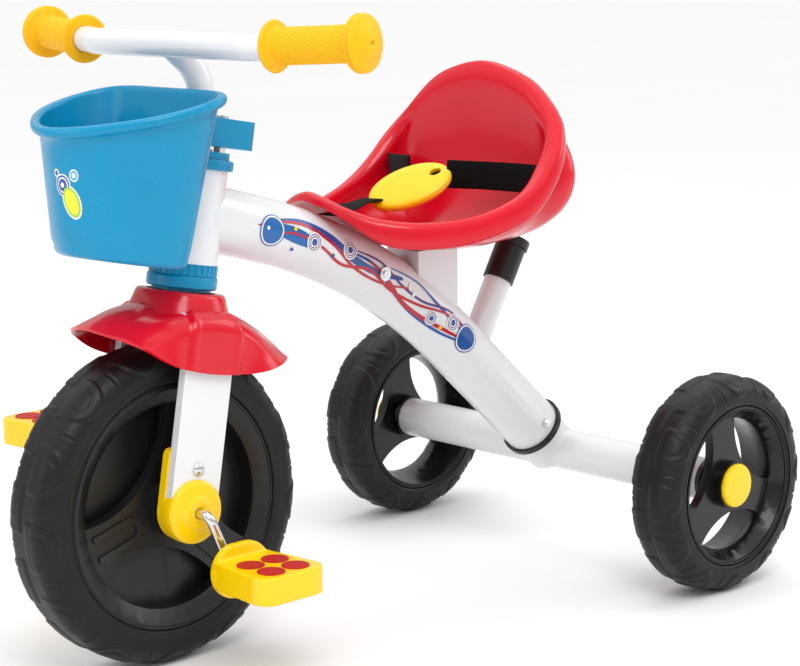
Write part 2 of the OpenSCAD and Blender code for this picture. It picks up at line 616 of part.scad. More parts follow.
// Leaf-shaped window between two spokes: the wheel bore meets an arc near the hub
module window(r, near) intersection() {
  circle(r + 1, $fn = 128);
  translate([near + r * 1.03, 0]) circle(r * 1.03, $fn = 128);
}
module spoke_plate(r, near, a) difference() {
  circle(r + 2, $fn = 128);
  for (k = [0:2]) rotate([0, 0, a + 60 + 120 * k]) window(r, near);
}
module front_rim() color("dimgray") at_front() difference() {
  union() {
    rotate([90, 0, 0]) rotate_extrude($fn = 128) polygon(concat(
      [[front_open, web_half], [front_open, plate_z1 + 0.5], [front_rim_r - 4, front_w / 2 - 1.5],
       [front_rim_r - 0.05, front_w / 2 - 2.5], [front_rim_r - 0.05, -front_w / 2 + 2.5],
       [front_rim_r - 4, -front_w / 2 + 1.5], [front_open, -plate_z1 - 0.5],
       [front_open, -web_half]],
      [[0, -web_half], [0, web_half]]));
    for (side = [-1, 1]) sided(side) along_y(plate_z0)
      linear_extrude(plate_z1 - plate_z0) spoke_plate(front_open, 34, spoke_angle);
    for (side = [-1, 1]) sided(side) along_y(plate_z1 - cut) for (k = [0:2])
      rotate([0, 0, spoke_angle + 120 * k]) linear_extrude(cut + 2) spoke_rib();
    for (side = [-1, 1]) sided(side) along_y(web_half)
      cylinder(r = front_hub_r, h = front_w / 2 - web_half - 0.5);
  }
  rotate([90, 0, 0]) cylinder(r = crank_d / 2 + run, h = front_w + cut, center = true);
}
module spoke_rib() difference() {
  union() {
    translate([44, 0]) circle(11);
    translate([44, -11]) square([34, 22]);
  }
  translate([44, 0]) circle(6.5);
  translate([44, -6.5]) square([40, 13]);
}

// One bent rod: axle, two arms and two pedal spindles
arm_y = blade_out + cap_t + 10.5;
arm_r = 7;
pedal_y = arm_y + arm_r + 2.3;
spindle_end = pedal_y + pedal_len - 9;
module half_crank() {
  along_y(0) cylinder(r = crank_d / 2, h = arm_y - arm_r);
  translate([0, arm_y - arm_r, -arm_r]) rotate([0, 90, 0]) rotate([0, 0, 90])
    rotate_extrude(angle = 90) translate([arm_r, 0]) circle(crank_d / 2);
  translate([0, arm_y, -(crank_len - arm_r)]) cylinder(r = crank_d / 2, h = crank_len - 2 * arm_r);
  translate([0, arm_y + arm_r, -(crank_len - arm_r)]) rotate([0, 90, 0]) rotate([0, 0, -90])
    rotate_extrude(angle = 90) translate([arm_r, 0]) circle(crank_d / 2);
  translate([0, 0, -crank_len]) along_y(arm_y + arm_r)
    cylinder(r = crank_d / 2, h = spindle_end - arm_y - arm_r);
}
module crankshaft() color("silver") at_front() {
  rotate([0, crank_angle, 0]) half_crank();
  rotate([0, crank_angle + 180, 0]) mirror([0, 1, 0]) half_crank();
}

// ---- Pedals ----

function pedal_at(side) = [front_x - side * crank_len * sin(crank_angle), 0,
  front_r - side * crank_len * cos(crank_angle)];
flange_r = 22;
flange_off = 6;
module at_pedal(side) translate(pedal_at(side)) sided(side) children();
module pedal(side) color("gold") at_pedal(side) difference() {
  union() {
    translate([0, 0, -pedal_t / 2]) linear_extrude(pedal_t) polygon(concat(
      [[-pedal_w / 2 + 6, pedal_y + 2], [pedal_w / 2 - 6, pedal_y + 2]],
      arc(pedal_w / 2 - 14, pedal_y + pedal_len - 14, 14, 0, 90, 6),
      arc(14 - pedal_w / 2, pedal_y + pedal_len - 14, 14, 90, 180, 6)));
    for (x = [-flange_off, flange_off]) translate([x, 0, 0]) along_y(pedal_y)
      cylinder(r = flange_r, h = 7);
    translate([-flange_off, pedal_y, -flange_r]) cube([2 * flange_off, 7, 2 * flange_r]);
  }
  along_y(pedal_y - cut) cylinder(r = crank_d / 2 + run, h = spindle_end - pedal_y + 2 * cut);
}
stud_r = 11;
stud_pitch = 24.5;
stud_y = pedal_y + pedal_len - 10 - stud_pitch / 2 - stud_r - 2;
module pedal_studs(side) color("red") at_pedal(side)
  for (x = [-1, 1]) for (y = [-1, 1])
    translate([x * stud_pitch / 2, stud_y + 6 + y * stud_pitch / 2, pedal_t / 2])
      cylinder(r = stud_r, h = 0.8);

// ---- Rear wheels ----

rear_open = rear_rim_r - 12;
rear_plate = rear_w / 2 - 13;
module rear_tyre(side) color("black") at_rear(side) translate([0, 0, wheel_y])
  rotate_extrude($fn = 128) polygon(tyre_pts(rear_r, rear_w, rear_rim_r));
module rear_rim(side) color("dimgray") at_rear(side) difference() {
  union() {
    translate([0, 0, wheel_y]) rotate_extrude($fn = 128) polygon(
      [[rear_open, rear_plate - 9.5], [rear_open, rear_plate + 0.5], [rear_rim_r - 4, rear_w / 2 - 1.5],
       [rear_rim_r - 0.05, rear_w / 2 - 2.5], [rear_rim_r - 0.05, -rear_w / 2 + 2.5],
       [rear_rim_r - 4, -rear_w / 2 + 1.5], [rear_rim_r - 5, -rear_w / 2 + 6]]);
    translate([0, 0, wheel_y + rear_plate - 9]) linear_extrude(9)
      spoke_plate(rear_open, 27, 38);
    translate([0, 0, hub_in]) cylinder(r = hub_cap_d / 2 + 1.5, h = hub_out - hub_in);
  }
  translate([0, 0, hub_in - cut]) cylinder(r = rod_d / 2 + run, h = rear_w);
  translate([0, 0, hub_out - 8]) cylinder(r = rod_d * 0.85 + 2, h = 10);
}
module hub_cap(side) color("gold") at_rear(side) translate([0, 0, hub_out]) rotate_extrude()
  polygon(concat([[0, 0], [hub_cap_d / 2, 0]], arc(hub_cap_d / 2 - 2.5, 2, 2.5, 0, 90, 5),
    [[0, 5]]));

head_tube();
main_beam();
beam_neck();
beam_collar();
axle_tube();
axle_rod();
axle_bush(1);  // axle_bush_left
axle_bush(-1);  // axle_bush_right
axle_nut(1);  // axle_nut_left
axle_nut(-1);  // axle_nut_right
seat_bracket();
seat_bolts();
seat();
strap_left();
strap_right();
strap_crotch();
buckle();
push_socket();
push_sleeve();
head_bush_lower();
head_bush_upper();
beam_screws();
steerer_tube();
stem();
handlebar();
grip(1);  // grip_left
grip(-1);  // grip_right
fork_crown();
fork_blade(1);  // fork_blade_left
fork_blade(-1);  // fork_blade_right
mudguard();
basket();
basket_clamp();
clamp_bolt();
cap(1);  // cap_left
cap(-1);  // cap_right
bearing(1);  // bearing_left
bearing(-1);  // bearing_right
fork_screw(1);  // fork_screw_left
fork_screw(-1);  // fork_screw_right
front_tyre();
front_rim();
crankshaft();
pedal(1);  // pedal_left
pedal(-1);  // pedal_right
pedal_studs(1);  // pedal_studs_left
pedal_studs(-1);  // pedal_studs_right
rear_tyre(1);  // rear_tyre_left
rear_tyre(-1);  // rear_tyre_right
rear_rim(1);  // rear_rim_left
rear_rim(-1);  // rear_rim_right
hub_cap(1);  // hub_cap_left
hub_cap(-1);  // hub_cap_right
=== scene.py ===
"""Child's tricycle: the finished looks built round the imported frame."""

import json
from math import acos, cos, exp, pi, radians, sin, sqrt

import bmesh
import bpy
import numpy as np
from bpy.props import FloatProperty, FloatVectorProperty, IntProperty, PointerProperty
from mathutils import Matrix, Vector

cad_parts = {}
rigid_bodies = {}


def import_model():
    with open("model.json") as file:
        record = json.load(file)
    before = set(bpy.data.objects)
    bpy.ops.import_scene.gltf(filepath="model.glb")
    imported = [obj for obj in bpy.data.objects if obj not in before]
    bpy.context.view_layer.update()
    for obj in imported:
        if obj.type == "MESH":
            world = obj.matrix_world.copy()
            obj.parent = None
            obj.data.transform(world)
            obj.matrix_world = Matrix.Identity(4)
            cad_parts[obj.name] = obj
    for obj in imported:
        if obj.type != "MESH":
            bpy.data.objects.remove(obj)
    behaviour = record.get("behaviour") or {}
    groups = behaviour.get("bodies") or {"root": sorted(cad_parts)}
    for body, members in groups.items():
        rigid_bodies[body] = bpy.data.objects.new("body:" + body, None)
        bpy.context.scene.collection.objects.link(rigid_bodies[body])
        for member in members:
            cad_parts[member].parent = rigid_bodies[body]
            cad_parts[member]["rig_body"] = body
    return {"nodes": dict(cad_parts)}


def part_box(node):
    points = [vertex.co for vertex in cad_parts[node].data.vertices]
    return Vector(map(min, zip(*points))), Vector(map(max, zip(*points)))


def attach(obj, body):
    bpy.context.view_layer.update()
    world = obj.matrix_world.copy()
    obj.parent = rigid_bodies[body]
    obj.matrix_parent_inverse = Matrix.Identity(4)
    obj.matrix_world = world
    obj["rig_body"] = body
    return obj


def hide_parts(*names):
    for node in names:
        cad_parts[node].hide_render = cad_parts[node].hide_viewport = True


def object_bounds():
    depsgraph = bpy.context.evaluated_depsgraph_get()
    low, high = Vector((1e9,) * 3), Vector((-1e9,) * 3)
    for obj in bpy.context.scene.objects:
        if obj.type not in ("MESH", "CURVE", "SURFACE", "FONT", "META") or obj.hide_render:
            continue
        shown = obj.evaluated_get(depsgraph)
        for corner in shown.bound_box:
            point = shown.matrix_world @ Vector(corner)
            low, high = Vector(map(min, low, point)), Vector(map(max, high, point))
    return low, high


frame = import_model()
cad_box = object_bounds()

bl_info = {
    "name": "Child's Tricycle",
    "version": (1, 0, 0),
    "blender": (4, 5, 0),
    "location": "View3D > Sidebar > Tricycle",
    "description": "Builds the finished pieces of a child's tricycle on its packed frame",
    "category": "Object",
}

MM = 0.001


def middle(node):
    low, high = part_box(node)
    return (low + high) / 2


FRONT_AXLE = middle("front_tyre")
REAR_AXLE = {side: middle("rear_tyre_" + side) for side in ("left", "right")}
SIDES = {"left": 1, "right": -1}


# ---- Settings ----


def colour(name, text, value):
    return FloatVectorProperty(
        name=name, description=text, subtype="COLOR", size=3, min=0, max=1, default=value
    )


def length(name, text, value, low, high):
    return FloatProperty(
        name=name, description=text, default=value, min=low, max=high, unit="LENGTH", precision=5
    )


class TricycleColours(bpy.types.PropertyGroup):
    paint: colour("Paint", "Gloss white of the tubes and the fork", (0.74, 0.75, 0.765))
    crimson: colour("Crimson", "Seat and mudguard plastic", (0.62, 0.002, 0.015))
    sky: colour("Sky blue", "Basket and steering bushes", (0.0, 0.25, 0.46))
    gold: colour("Yellow", "Pedals, caps, buckle and grips", (0.88, 0.46, 0.002))
    stud: colour("Stud red", "Round pads on the pedals", (0.46, 0.010, 0.008))
    foam: colour("Tyre black", "Tyres", (0.0042, 0.0042, 0.0046))
    gloss_black: colour("Gloss black", "Rims, sleeve and collar", (0.005, 0.005, 0.0055))
    web: colour("Webbing", "Harness straps", (0.004, 0.004, 0.0045))
    navy: colour("Navy ink", "Blue of the beam graphic", (0.008, 0.075, 0.30))
    red_ink: colour("Red ink", "Red of the beam graphic", (0.50, 0.008, 0.025))


class TricycleSizes(bpy.types.PropertyGroup):
    rake: FloatProperty(
        name="Rake",
        description="Lean of the steering axis",
        default=radians(10),
        min=0,
        max=radians(30),
        subtype="ANGLE",
    )
    tread: length("Tread", "Height of the raised tread lobes", 0.0011, 0, 0.004)
    lobes_front: IntProperty(
        name="Front lobes", description="Tread lobes on each side of the front tyre", default=13, min=6, max=24
    )
    lobes_rear: IntProperty(
        name="Rear lobes", description="Tread lobes on each side of a rear tyre", default=12, min=6, max=24
    )
    knurl: length("Knurl", "Height of the diamonds on the grips", 0.0007, 0, 0.002)
    seat_wall: length("Seat wall", "Thickness of the seat shell", 0.0035, 0.002, 0.006)
    print_lift: length("Graphic lift", "How far the graphics stand off their surface", 0.00022, 0.0001, 0.001)
    edge: length("Edge", "Rounding of the moulded edges", 0.0009, 0.0002, 0.003)


def colours():
    return bpy.context.scene.tricycle_colours


def sizes():
    return bpy.context.scene.tricycle_sizes


# ---- Finishes ----


def new_finish(name):
    if name in bpy.data.materials:
        return bpy.data.materials[name], None
    mat = bpy.data.materials.new(name)
    mat.use_nodes = True
    return mat, mat.node_tree


def shader_of(tree):
    return next(n for n in tree.nodes if n.type == "BSDF_PRINCIPLED")


def noise(tree, scale, detail=3.0, roughness=0.5):
    coords = tree.nodes.new("ShaderNodeTexCoord").outputs["Object"]
    tex = tree.nodes.new("ShaderNodeTexNoise")
    tex.inputs["Scale"].default_value = scale
    tex.inputs["Detail"].default_value = detail
    tex.inputs["Roughness"].default_value = roughness
    tree.links.new(coords, tex.inputs["Vector"])
    return tex.outputs["Fac"]


def spread(tree, value, low, high, in_low=0.3, in_high=0.7):
    span = tree.nodes.new("ShaderNodeMapRange")
    span.inputs["From Min"].default_value = in_low
    span.inputs["From Max"].default_value = in_high
    span.inputs["To Min"].default_value = low
    span.inputs["To Max"].default_value = high
    tree.links.new(value, span.inputs["Value"])
    return span.outputs["Result"]


def blend_colour(tree, value, dark, light):
    mix = tree.nodes.new("ShaderNodeMix")
    mix.data_type = "RGBA"
    mix.inputs["A"].default_value = (*dark, 1)
    mix.inputs["B"].default_value = (*light, 1)
    tree.links.new(value, mix.inputs["Factor"])
    return mix.outputs["Result"]


def raise_bump(tree, value, height, strength=1.0, before=None):
    bump = tree.nodes.new("ShaderNodeBump")
    bump.inputs["Distance"].default_value = height
    bump.inputs["Strength"].default_value = strength
    tree.links.new(value, bump.inputs["Height"])
    if before is not None:
        tree.links.new(before, bump.inputs["Normal"])
    return bump.outputs["Normal"]


def shade(rgb, k):
    return tuple(min(1.0, max(0.0, c * k)) for c in rgb)


def moulded(name, rgb, rough, coat, grain, grain_scale, vary, specular=0.5, soft=0.0):
    """Coloured plastic, rubber or paint: faint colour drift, uneven gloss, a fine skin and soft ripples."""
    mat, tree = new_finish(name)
    if tree is None:
        return mat
    bsdf = shader_of(tree)
    drift = noise(tree, 14, 4, 0.6)
    tree.links.new(
        blend_colour(tree, spread(tree, drift, 0, 1), shade(rgb, 1 - vary), shade(rgb, 1 + vary)),
        bsdf.inputs["Base Color"],
    )
    patches = noise(tree, 55, 5, 0.65)
    tree.links.new(spread(tree, patches, rough * 0.85, rough * 1.2), bsdf.inputs["Roughness"])
    ripple = raise_bump(tree, noise(tree, 30, 2), 0.00012, 0.12)
    skin = raise_bump(tree, noise(tree, grain_scale, 3), grain, 0.6, ripple)
    tree.links.new(skin, bsdf.inputs["Normal"])
    bsdf.inputs["Specular IOR Level"].default_value = specular
    bsdf.inputs["Coat Weight"].default_value = coat
    bsdf.inputs["Coat Roughness"].default_value = 0.06
    if soft:
        bsdf.inputs["Subsurface Weight"].default_value = soft
        bsdf.inputs["Subsurface Radius"].default_value = (1.0, 0.5, 0.25)
        bsdf.inputs["Subsurface Scale"].default_value = 0.0015
    return mat


def paint_finish():
    return moulded("gloss_white_paint", colours().paint, 0.24, 0.4, 0.000018, 900, 0.012)


def crimson_finish():
    return moulded("crimson_plastic", colours().crimson, 0.2, 0.15, 0.00001, 1100, 0.05, 0.35, soft=0.06)


def sky_finish():
    return moulded("sky_blue_plastic", colours().sky, 0.28, 0.1, 0.000018, 1000, 0.05, 0.28, soft=0.06)


def gold_finish():
    return moulded("yellow_plastic", colours().gold, 0.32, 0.06, 0.00003, 1500, 0.04, 0.3, soft=0.06)


def grip_finish():
    return moulded("yellow_grip_rubber", colours().gold, 0.48, 0.0, 0.00004, 1700, 0.04, 0.25, soft=0.06)


def stud_finish():
    return moulded("red_stud_rubber", colours().stud, 0.55, 0.0, 0.00006, 1300, 0.08, 0.35)


def rim_finish():
    return moulded("gloss_black_plastic", colours().gloss_black, 0.25, 0.12, 0.00002, 1200, 0.15, 0.32)


def satin_black_finish():
    rgb = shade(colours().gloss_black, 1.5)
    return moulded("satin_black_plastic", rgb, 0.34, 0.0, 0.00004, 1600, 0.15, 0.4)


def sleeve_finish():
    return moulded("black_sleeve_rubber", colours().gloss_black, 0.38, 0.0, 0.00004, 1500, 0.1, 0.45)


def foam_finish():
    mat, tree = new_finish("black_tyre_foam")
    if tree is None:
        return mat
    bsdf = shader_of(tree)
    rgb = colours().foam
    dust = noise(tree, 26, 6, 0.7)
    tree.links.new(
        blend_colour(tree, spread(tree, dust, 0, 1, 0.35, 0.75), shade(rgb, 0.85), shade(rgb, 1.5)),
        bsdf.inputs["Base Color"],
    )
    tree.links.new(spread(tree, noise(tree, 70, 5, 0.7), 0.36, 0.52), bsdf.inputs["Roughness"])
    pores = raise_bump(tree, noise(tree, 2600, 2, 0.6), 0.00006, 0.5)
    swell = raise_bump(tree, noise(tree, 60, 3), 0.0004, 0.3, pores)
    tree.links.new(swell, bsdf.inputs["Normal"])
    bsdf.inputs["Specular IOR Level"].default_value = 0.3
    return mat


def steel_finish():
    mat, tree = new_finish("bright_steel")
    if tree is None:
        return mat
    bsdf = shader_of(tree)
    bsdf.inputs["Metallic"].default_value = 1.0
    tree.links.new(
        blend_colour(tree, spread(tree, noise(tree, 120, 4), 0, 1), (0.62, 0.62, 0.63), (0.78, 0.78, 0.79)),
        bsdf.inputs["Base Color"],
    )
    tree.links.new(spread(tree, noise(tree, 300, 5, 0.7), 0.1, 0.24), bsdf.inputs["Roughness"])
    tree.links.new(raise_bump(tree, noise(tree, 700, 4), 0.00003, 0.4), bsdf.inputs["Normal"])
    return mat


def webbing_finish():
    """Ribbed tape: cross ribs and long warp threads on the strip's own UVs, in metres."""
    mat, tree = new_finish("black_webbing")
    if tree is None:
        return mat
    bsdf = shader_of(tree)
    uv = tree.nodes.new("ShaderNodeTexCoord").outputs["UV"]
    bands = []
    for direction, scale in (("X", 420.0), ("Y", 250.0)):
        wave = tree.nodes.new("ShaderNodeTexWave")
        wave.bands_direction = direction
        wave.inputs["Scale"].default_value = scale
        wave.inputs["Distortion"].default_value = 0.6
        wave.inputs["Detail"].default_value = 1.0
        tree.links.new(uv, wave.inputs["Vector"])
        bands.append(wave.outputs["Fac"])
    rib_height_and_painted_shade = tree.nodes.new("ShaderNodeMath")
    rib_height_and_painted_shade.operation = "MULTIPLY_ADD"
    tree.links.new(bands[0], rib_height_and_painted_shade.inputs[0])
    tree.links.new(bands[1], rib_height_and_painted_shade.inputs[1])
    rib_height_and_painted_shade.inputs[2].default_value = 0.1
    rgb = colours().web
    # Painted shade and highlight: the tape's colour is darker in the grooves and lighter on the rib tops,
    # following the same rib height as the bump below.
    tree.links.new(
        blend_colour(tree, rib_height_and_painted_shade.outputs[0], shade(rgb, 0.6), shade(rgb, 1.8)), bsdf.inputs["Base Color"]
    )
    bsdf.inputs["Roughness"].default_value = 0.8
    bsdf.inputs["Specular IOR Level"].default_value = 0.12
    bsdf.inputs["Sheen Weight"].default_value = 0.02
    bsdf.inputs["Sheen Roughness"].default_value = 0.5
    fuzz = raise_bump(tree, noise(tree, 3000, 3), 0.00008, 0.5)
    tree.links.new(raise_bump(tree, rib_height_and_painted_shade.outputs[0], 0.00035, 0.9, fuzz), bsdf.inputs["Normal"])
    return mat


def ink_finish(name, rgb):
    return moulded(name, rgb, 0.3, 0.25, 0.00001, 900, 0.04)


def floor_finish():
    mat, tree = new_finish("studio_floor")
    if tree is None:
        return mat
    bsdf = shader_of(tree)
    tree.links.new(
        blend_colour(tree, noise(tree, 1.2, 2), (0.86, 0.86, 0.865), (0.89, 0.89, 0.895)),
        bsdf.inputs["Base Color"],
    )
    bsdf.inputs["Roughness"].default_value = 0.7
    bsdf.inputs["Specular IOR Level"].default_value = 0.3
    return mat


# ---- Mesh making ----


def place(name, data):
    piece = bpy.data.objects.new(name, data)
    bpy.context.scene.collection.objects.link(piece)
    return piece


def stand_for(piece, node):
    """Let the piece stand for the node, which is hidden."""
    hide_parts(node)
    return piece


def make(name, points, faces, finish, body, smooth=True, sharp=None, uvs=None):
    mesh = bpy.data.meshes.new(name)
    mesh.from_pydata([tuple(p) for p in points], [], faces)
    if uvs is not None:
        layer = mesh.uv_layers.new(name="strip")
        for loop in mesh.loops:
            layer.data[loop.index].uv = uvs[loop.vertex_index]
    mesh.update()
    bm = bmesh.new()
    bm.from_mesh(mesh)
    bmesh.ops.recalc_face_normals(bm, faces=bm.faces)
    bm.to_mesh(mesh)
    bm.free()
    if smooth:
        mesh.shade_smooth()
        if sharp:
            mesh.set_sharp_from_angle(angle=radians(sharp))
    mesh.materials.append(finish)
    piece = place(name, mesh)
    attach(piece, body)
    return piece


def loft(rings, closed=True, loop=False, cap_first=False, cap_last=False):
    """Points and faces of a skin over rings of equal count; the rings may join into a loop."""
    n = len(rings[0])
    points = [p for ring in rings for p in ring]
    faces = []
    last = len(rings) if loop else len(rings) - 1
    for i in range(last):
        a, b = i * n, ((i + 1) % len(rings)) * n
        for j in range(n if closed else n - 1):
            k = (j + 1) % n
            faces.append((a + j, a + k, b + k, b + j))
    if cap_first:
        faces.append(tuple(range(n - 1, -1, -1)))
    if cap_last:
        start = (len(rings) - 1) * n
        faces.append(tuple(range(start, start + n)))
    return points, faces


def apply_modifiers(piece):
    depsgraph = bpy.context.evaluated_depsgraph_get()
    mesh = bpy.data.meshes.new_from_object(piece.evaluated_get(depsgraph))
    piece.modifiers.clear()
    piece.data = mesh
    return piece


def thicken(piece, thickness, offset):
    solid = piece.modifiers.new("wall", "SOLIDIFY")
    solid.thickness = thickness
    solid.offset = offset
    return apply_modifiers(piece)


def softened(node, finish, width, segments=3, limit=38):
    """A copy of a node's shape with its moulded edges rounded, standing for that node."""
    source = frame["nodes"][node]
    mesh = source.data.copy()
    bm = bmesh.new()
    bm.from_mesh(mesh)
    bmesh.ops.remove_doubles(bm, verts=bm.verts, dist=2e-6)
    bmesh.ops.dissolve_limit(bm, angle_limit=radians(0.6), verts=bm.verts, edges=bm.edges)
    bmesh.ops.recalc_face_normals(bm, faces=bm.faces)
    bm.to_mesh(mesh)
    bm.free()
    mesh.materials.clear()
    mesh.materials.append(finish)
    mesh.shade_smooth()
    mesh.set_sharp_from_angle(angle=radians(limit))
    piece = place(node + "_moulded", mesh)
    bevel = piece.modifiers.new("edge", "BEVEL")
    bevel.width = width
    bevel.segments = segments
    bevel.limit_method = "ANGLE"
    bevel.angle_limit = radians(limit)
    bevel.use_clamp_overlap = True
    bevel.harden_normals = True
    apply_modifiers(piece)
    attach(piece, source["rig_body"])
    return stand_for(piece, node)


def melted(node, finish, voxel, passes):
    """A copy of a node's shape with every edge melted round, standing for that node."""
    source = frame["nodes"][node]
    piece = place(node + "_moulding", source.data.copy())
    even = piece.modifiers.new("even", "REMESH")
    even.mode = "VOXEL"
    even.voxel_size = voxel
    melt = piece.modifiers.new("melt", "SMOOTH")
    melt.factor = 0.5
    melt.iterations = passes
    apply_modifiers(piece)
    piece.data.materials.clear()
    piece.data.materials.append(finish)
    piece.data.shade_smooth()
    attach(piece, source["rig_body"])
    return stand_for(piece, node)


def repaint(finish, *nodes):
    for node in nodes:
        mesh = frame["nodes"][node].data
        mesh.materials.clear()
        mesh.materials.append(finish)


def both(name):
    return [name + "_left", name + "_right"]


def mix(a, b, t):
    return a + (b - a) * t


def smooth_step(low, high, x):
    t = min(1.0, max(0.0, (x - low) / (high - low)))
    return t * t * (3 - 2 * t)


def spline(a, b, c, d, t):
    """Point between b and c, t from 0 to 1, on a smooth curve through all four."""
    return 0.5 * (
        2 * b + (c - a) * t + (2 * a - 5 * b + 4 * c - d) * t**2 + (3 * b - a - 3 * c + d) * t**3
    )


def squared(a, power_x, power_y):
    """Cosine and sine of a, pushed out towards the corners of a square by powers under one."""
    x, y = cos(a), sin(a)
    return abs(x) ** power_x * (1 if x >= 0 else -1), abs(y) ** power_y * (1 if y >= 0 else -1)


def turns(count):
    """That many even angles round a circle."""
    return [2 * pi * k / count for k in range(count)]


def through(points, u):
    """Point of a smooth closed curve through the points, at u from 0 to 1."""
    n = len(points)
    s = u * n
    i = int(s // 1) % n
    t = s - s // 1
    return spline(*(np.array(points[(i + k - 1) % n], float) for k in range(4)), t)


def steering(p):
    """A point of the steering frame, in millimetres from the front axle, in the row frame."""
    a = sizes().rake
    x, y, z = p
    return Vector(
        (
            FRONT_AXLE.x + MM * (x * cos(a) - z * sin(a)),
            MM * y,
            FRONT_AXLE.z + MM * (x * sin(a) + z * cos(a)),
        )
    )


# ---- Seat ----

SEAT_AT = Vector((-0.075, 0, 0.306))
SEAT_HALF = 98 / 105
SEAT_RIM = [
    (121, 0, 54), (119, 17, 50), (111, 38, 41.5), (96, 61, 33), (65, 84, 29), (20, 101, 33), (-24, 108, 49),
    (-53, 104, 76), (-68, 98, 99), (-75, 86, 118), (-78, 62, 138), (-79, 33, 149), (-80, 0, 154),
]
SEAT_AROUND = 240
SEAT_CURL, SEAT_BULGE = 108, 128
SEAT_LIP = (
    (2.4, -0.28), (4.4, -0.42), (6.0, -0.62), (7.0, -0.85), (7.6, -0.98), (8.6, -1.05), (9.8, -1.0),
    (10.6, -0.88), (11.0, -0.7), (10.9, -0.45), (10.6, -0.2), (10.2, 0.5), (9.4, 2.8), (8.0, 4.6),
    (6.2, 5.7), (4.2, 6.0), (2.2, 5.5), (0.6, 4.2),
)


def seat_rim(i):
    half = [np.array(p, float) for p in SEAT_RIM]
    other = [p * np.array([1, -1, 1]) for p in reversed(half[1:-1])]
    q = through(half + other, (i % SEAT_AROUND) / SEAT_AROUND)
    return q * np.array([1, SEAT_HALF, 1])


def seat_bowl(i, t, back=SEAT_CURL):
    """Point of the bowl from the pan's middle, t = 0, to the rim, t = 1; back is the rear wall's curl."""
    c = cos(2 * pi * i / SEAT_AROUND)
    w = 1 - max(0.0, c) ** 1.5
    a = radians(mix(100, back, smooth_step(0.25, -0.8, c)))
    q = seat_rim(i)
    h = mix(t, sin(a * t) / sin(a), w)
    v = mix(t**1.3, ((1 - cos(a * t)) / (1 - cos(a))) ** 1.25, w)
    return q * np.array([h, h, v])


def seat_out(i):
    d = seat_rim(i + 1) - seat_rim(i - 1)
    o = np.array([d[1], -d[0], 0])
    return o / np.linalg.norm(o)


def seat_wall_out(i, t):
    along = seat_bowl(i, min(1, t + 0.03)) - seat_bowl(i, t - 0.03)
    across = seat_bowl(i + 1, t) - seat_bowl(i - 1, t)
    n = np.cross(along, across)
    return n / np.linalg.norm(n)


class TRICYCLE_OT_seat(bpy.types.Operator):
    """Moulded bucket seat with its rolled lip"""

    bl_idname = "tricycle.seat"
    bl_label = "Seat"

    def execute(self, context):
        wall = sizes().seat_wall / MM
        steps = 26
        rows = [k / steps for k in range(1, steps + 1)]
        rings = [[seat_bowl(i, t, SEAT_BULGE) for i in range(SEAT_AROUND)] for t in rows]

        def lip(out, up):
            """Ring of the lip: out from the rim, up from it; below the rim it is a share of the skirt."""
            ring = []
            for i in range(SEAT_AROUND):
                c = cos(2 * pi * i / SEAT_AROUND)
                drop = mix(15.5, 1.6, smooth_step(0.62, 0.96, c))
                flank = smooth_step(0.25, -0.35, c) * (1 - 0.6 * smooth_step(-0.8, -1.0, c))
                lift = up * (drop + 7 * flank) if up < 0 else up
                ring.append(seat_rim(i) + out * (1 + 0.6 * flank) * seat_out(i) + np.array([0, 0, lift]))
            return ring

        rings += [lip(o, u) for o, u in SEAT_LIP]
        for t in reversed(rows[:-1]):
            rings.append([seat_bowl(i, t) + wall * seat_wall_out(i, t) for i in range(SEAT_AROUND)])
        rings = [[SEAT_AT + MM * Vector(p) for p in ring] for ring in rings]
        points, faces = loft(rings, cap_first=True, cap_last=True)
        seat = make("seat_shell", points, faces, crimson_finish(), "frame")
        stand_for(seat, "seat")
        return {"FINISHED"}


# ---- Harness ----

BUCKLE_AT = Vector((-0.068, 0, 0.360))


def buckle_axes():
    long = Vector((-0.65, 0.686, 0.325)).normalized()
    face = Vector((0.66, 0.3, 0.69))
    normal = long.cross(face.cross(long).normalized()).normalized()
    return long, normal.cross(long), normal


def strap(name, node, start, end, flat, sag, width=0.025, thick=0.0017, fold=0.02):
    """A length of tape from start to end: a soft sag, a slow twist and a stitched fold at the buckle."""
    along = (end - start).normalized()
    side = (flat - along * flat.dot(along)).normalized()
    out = along.cross(side)
    rings, uvs = [], []
    count = 44
    span = (end - start).length
    for i in range(count + 1):
        u = i / count
        at = start.lerp(end, u) - out * sag * sin(pi * u)
        turn = 0.10 * sin(2 * pi * u)
        s = (side * cos(turn) + out * sin(turn)).normalized()
        n = (out * cos(turn) - side * sin(turn)).normalized()
        past = u * span - fold
        deep = thick * (max(0.95, 0.4 + 0.6 * min(1, past / 0.0015)) if past > 0 else 1.75)
        ring = []
        for a in turns(16):
            cx, cy = squared(a, 0.35, 0.8)
            ring.append(at + s * cx * width / 2 + n * cy * deep / 2)
            uvs.append((u * span, cx * width / 2))
        rings.append(ring)
    points, faces = loft(rings, cap_first=True, cap_last=True)
    tape = make(name, points, faces, webbing_finish(), "frame", sharp=60, uvs=uvs)
    return stand_for(tape, node)


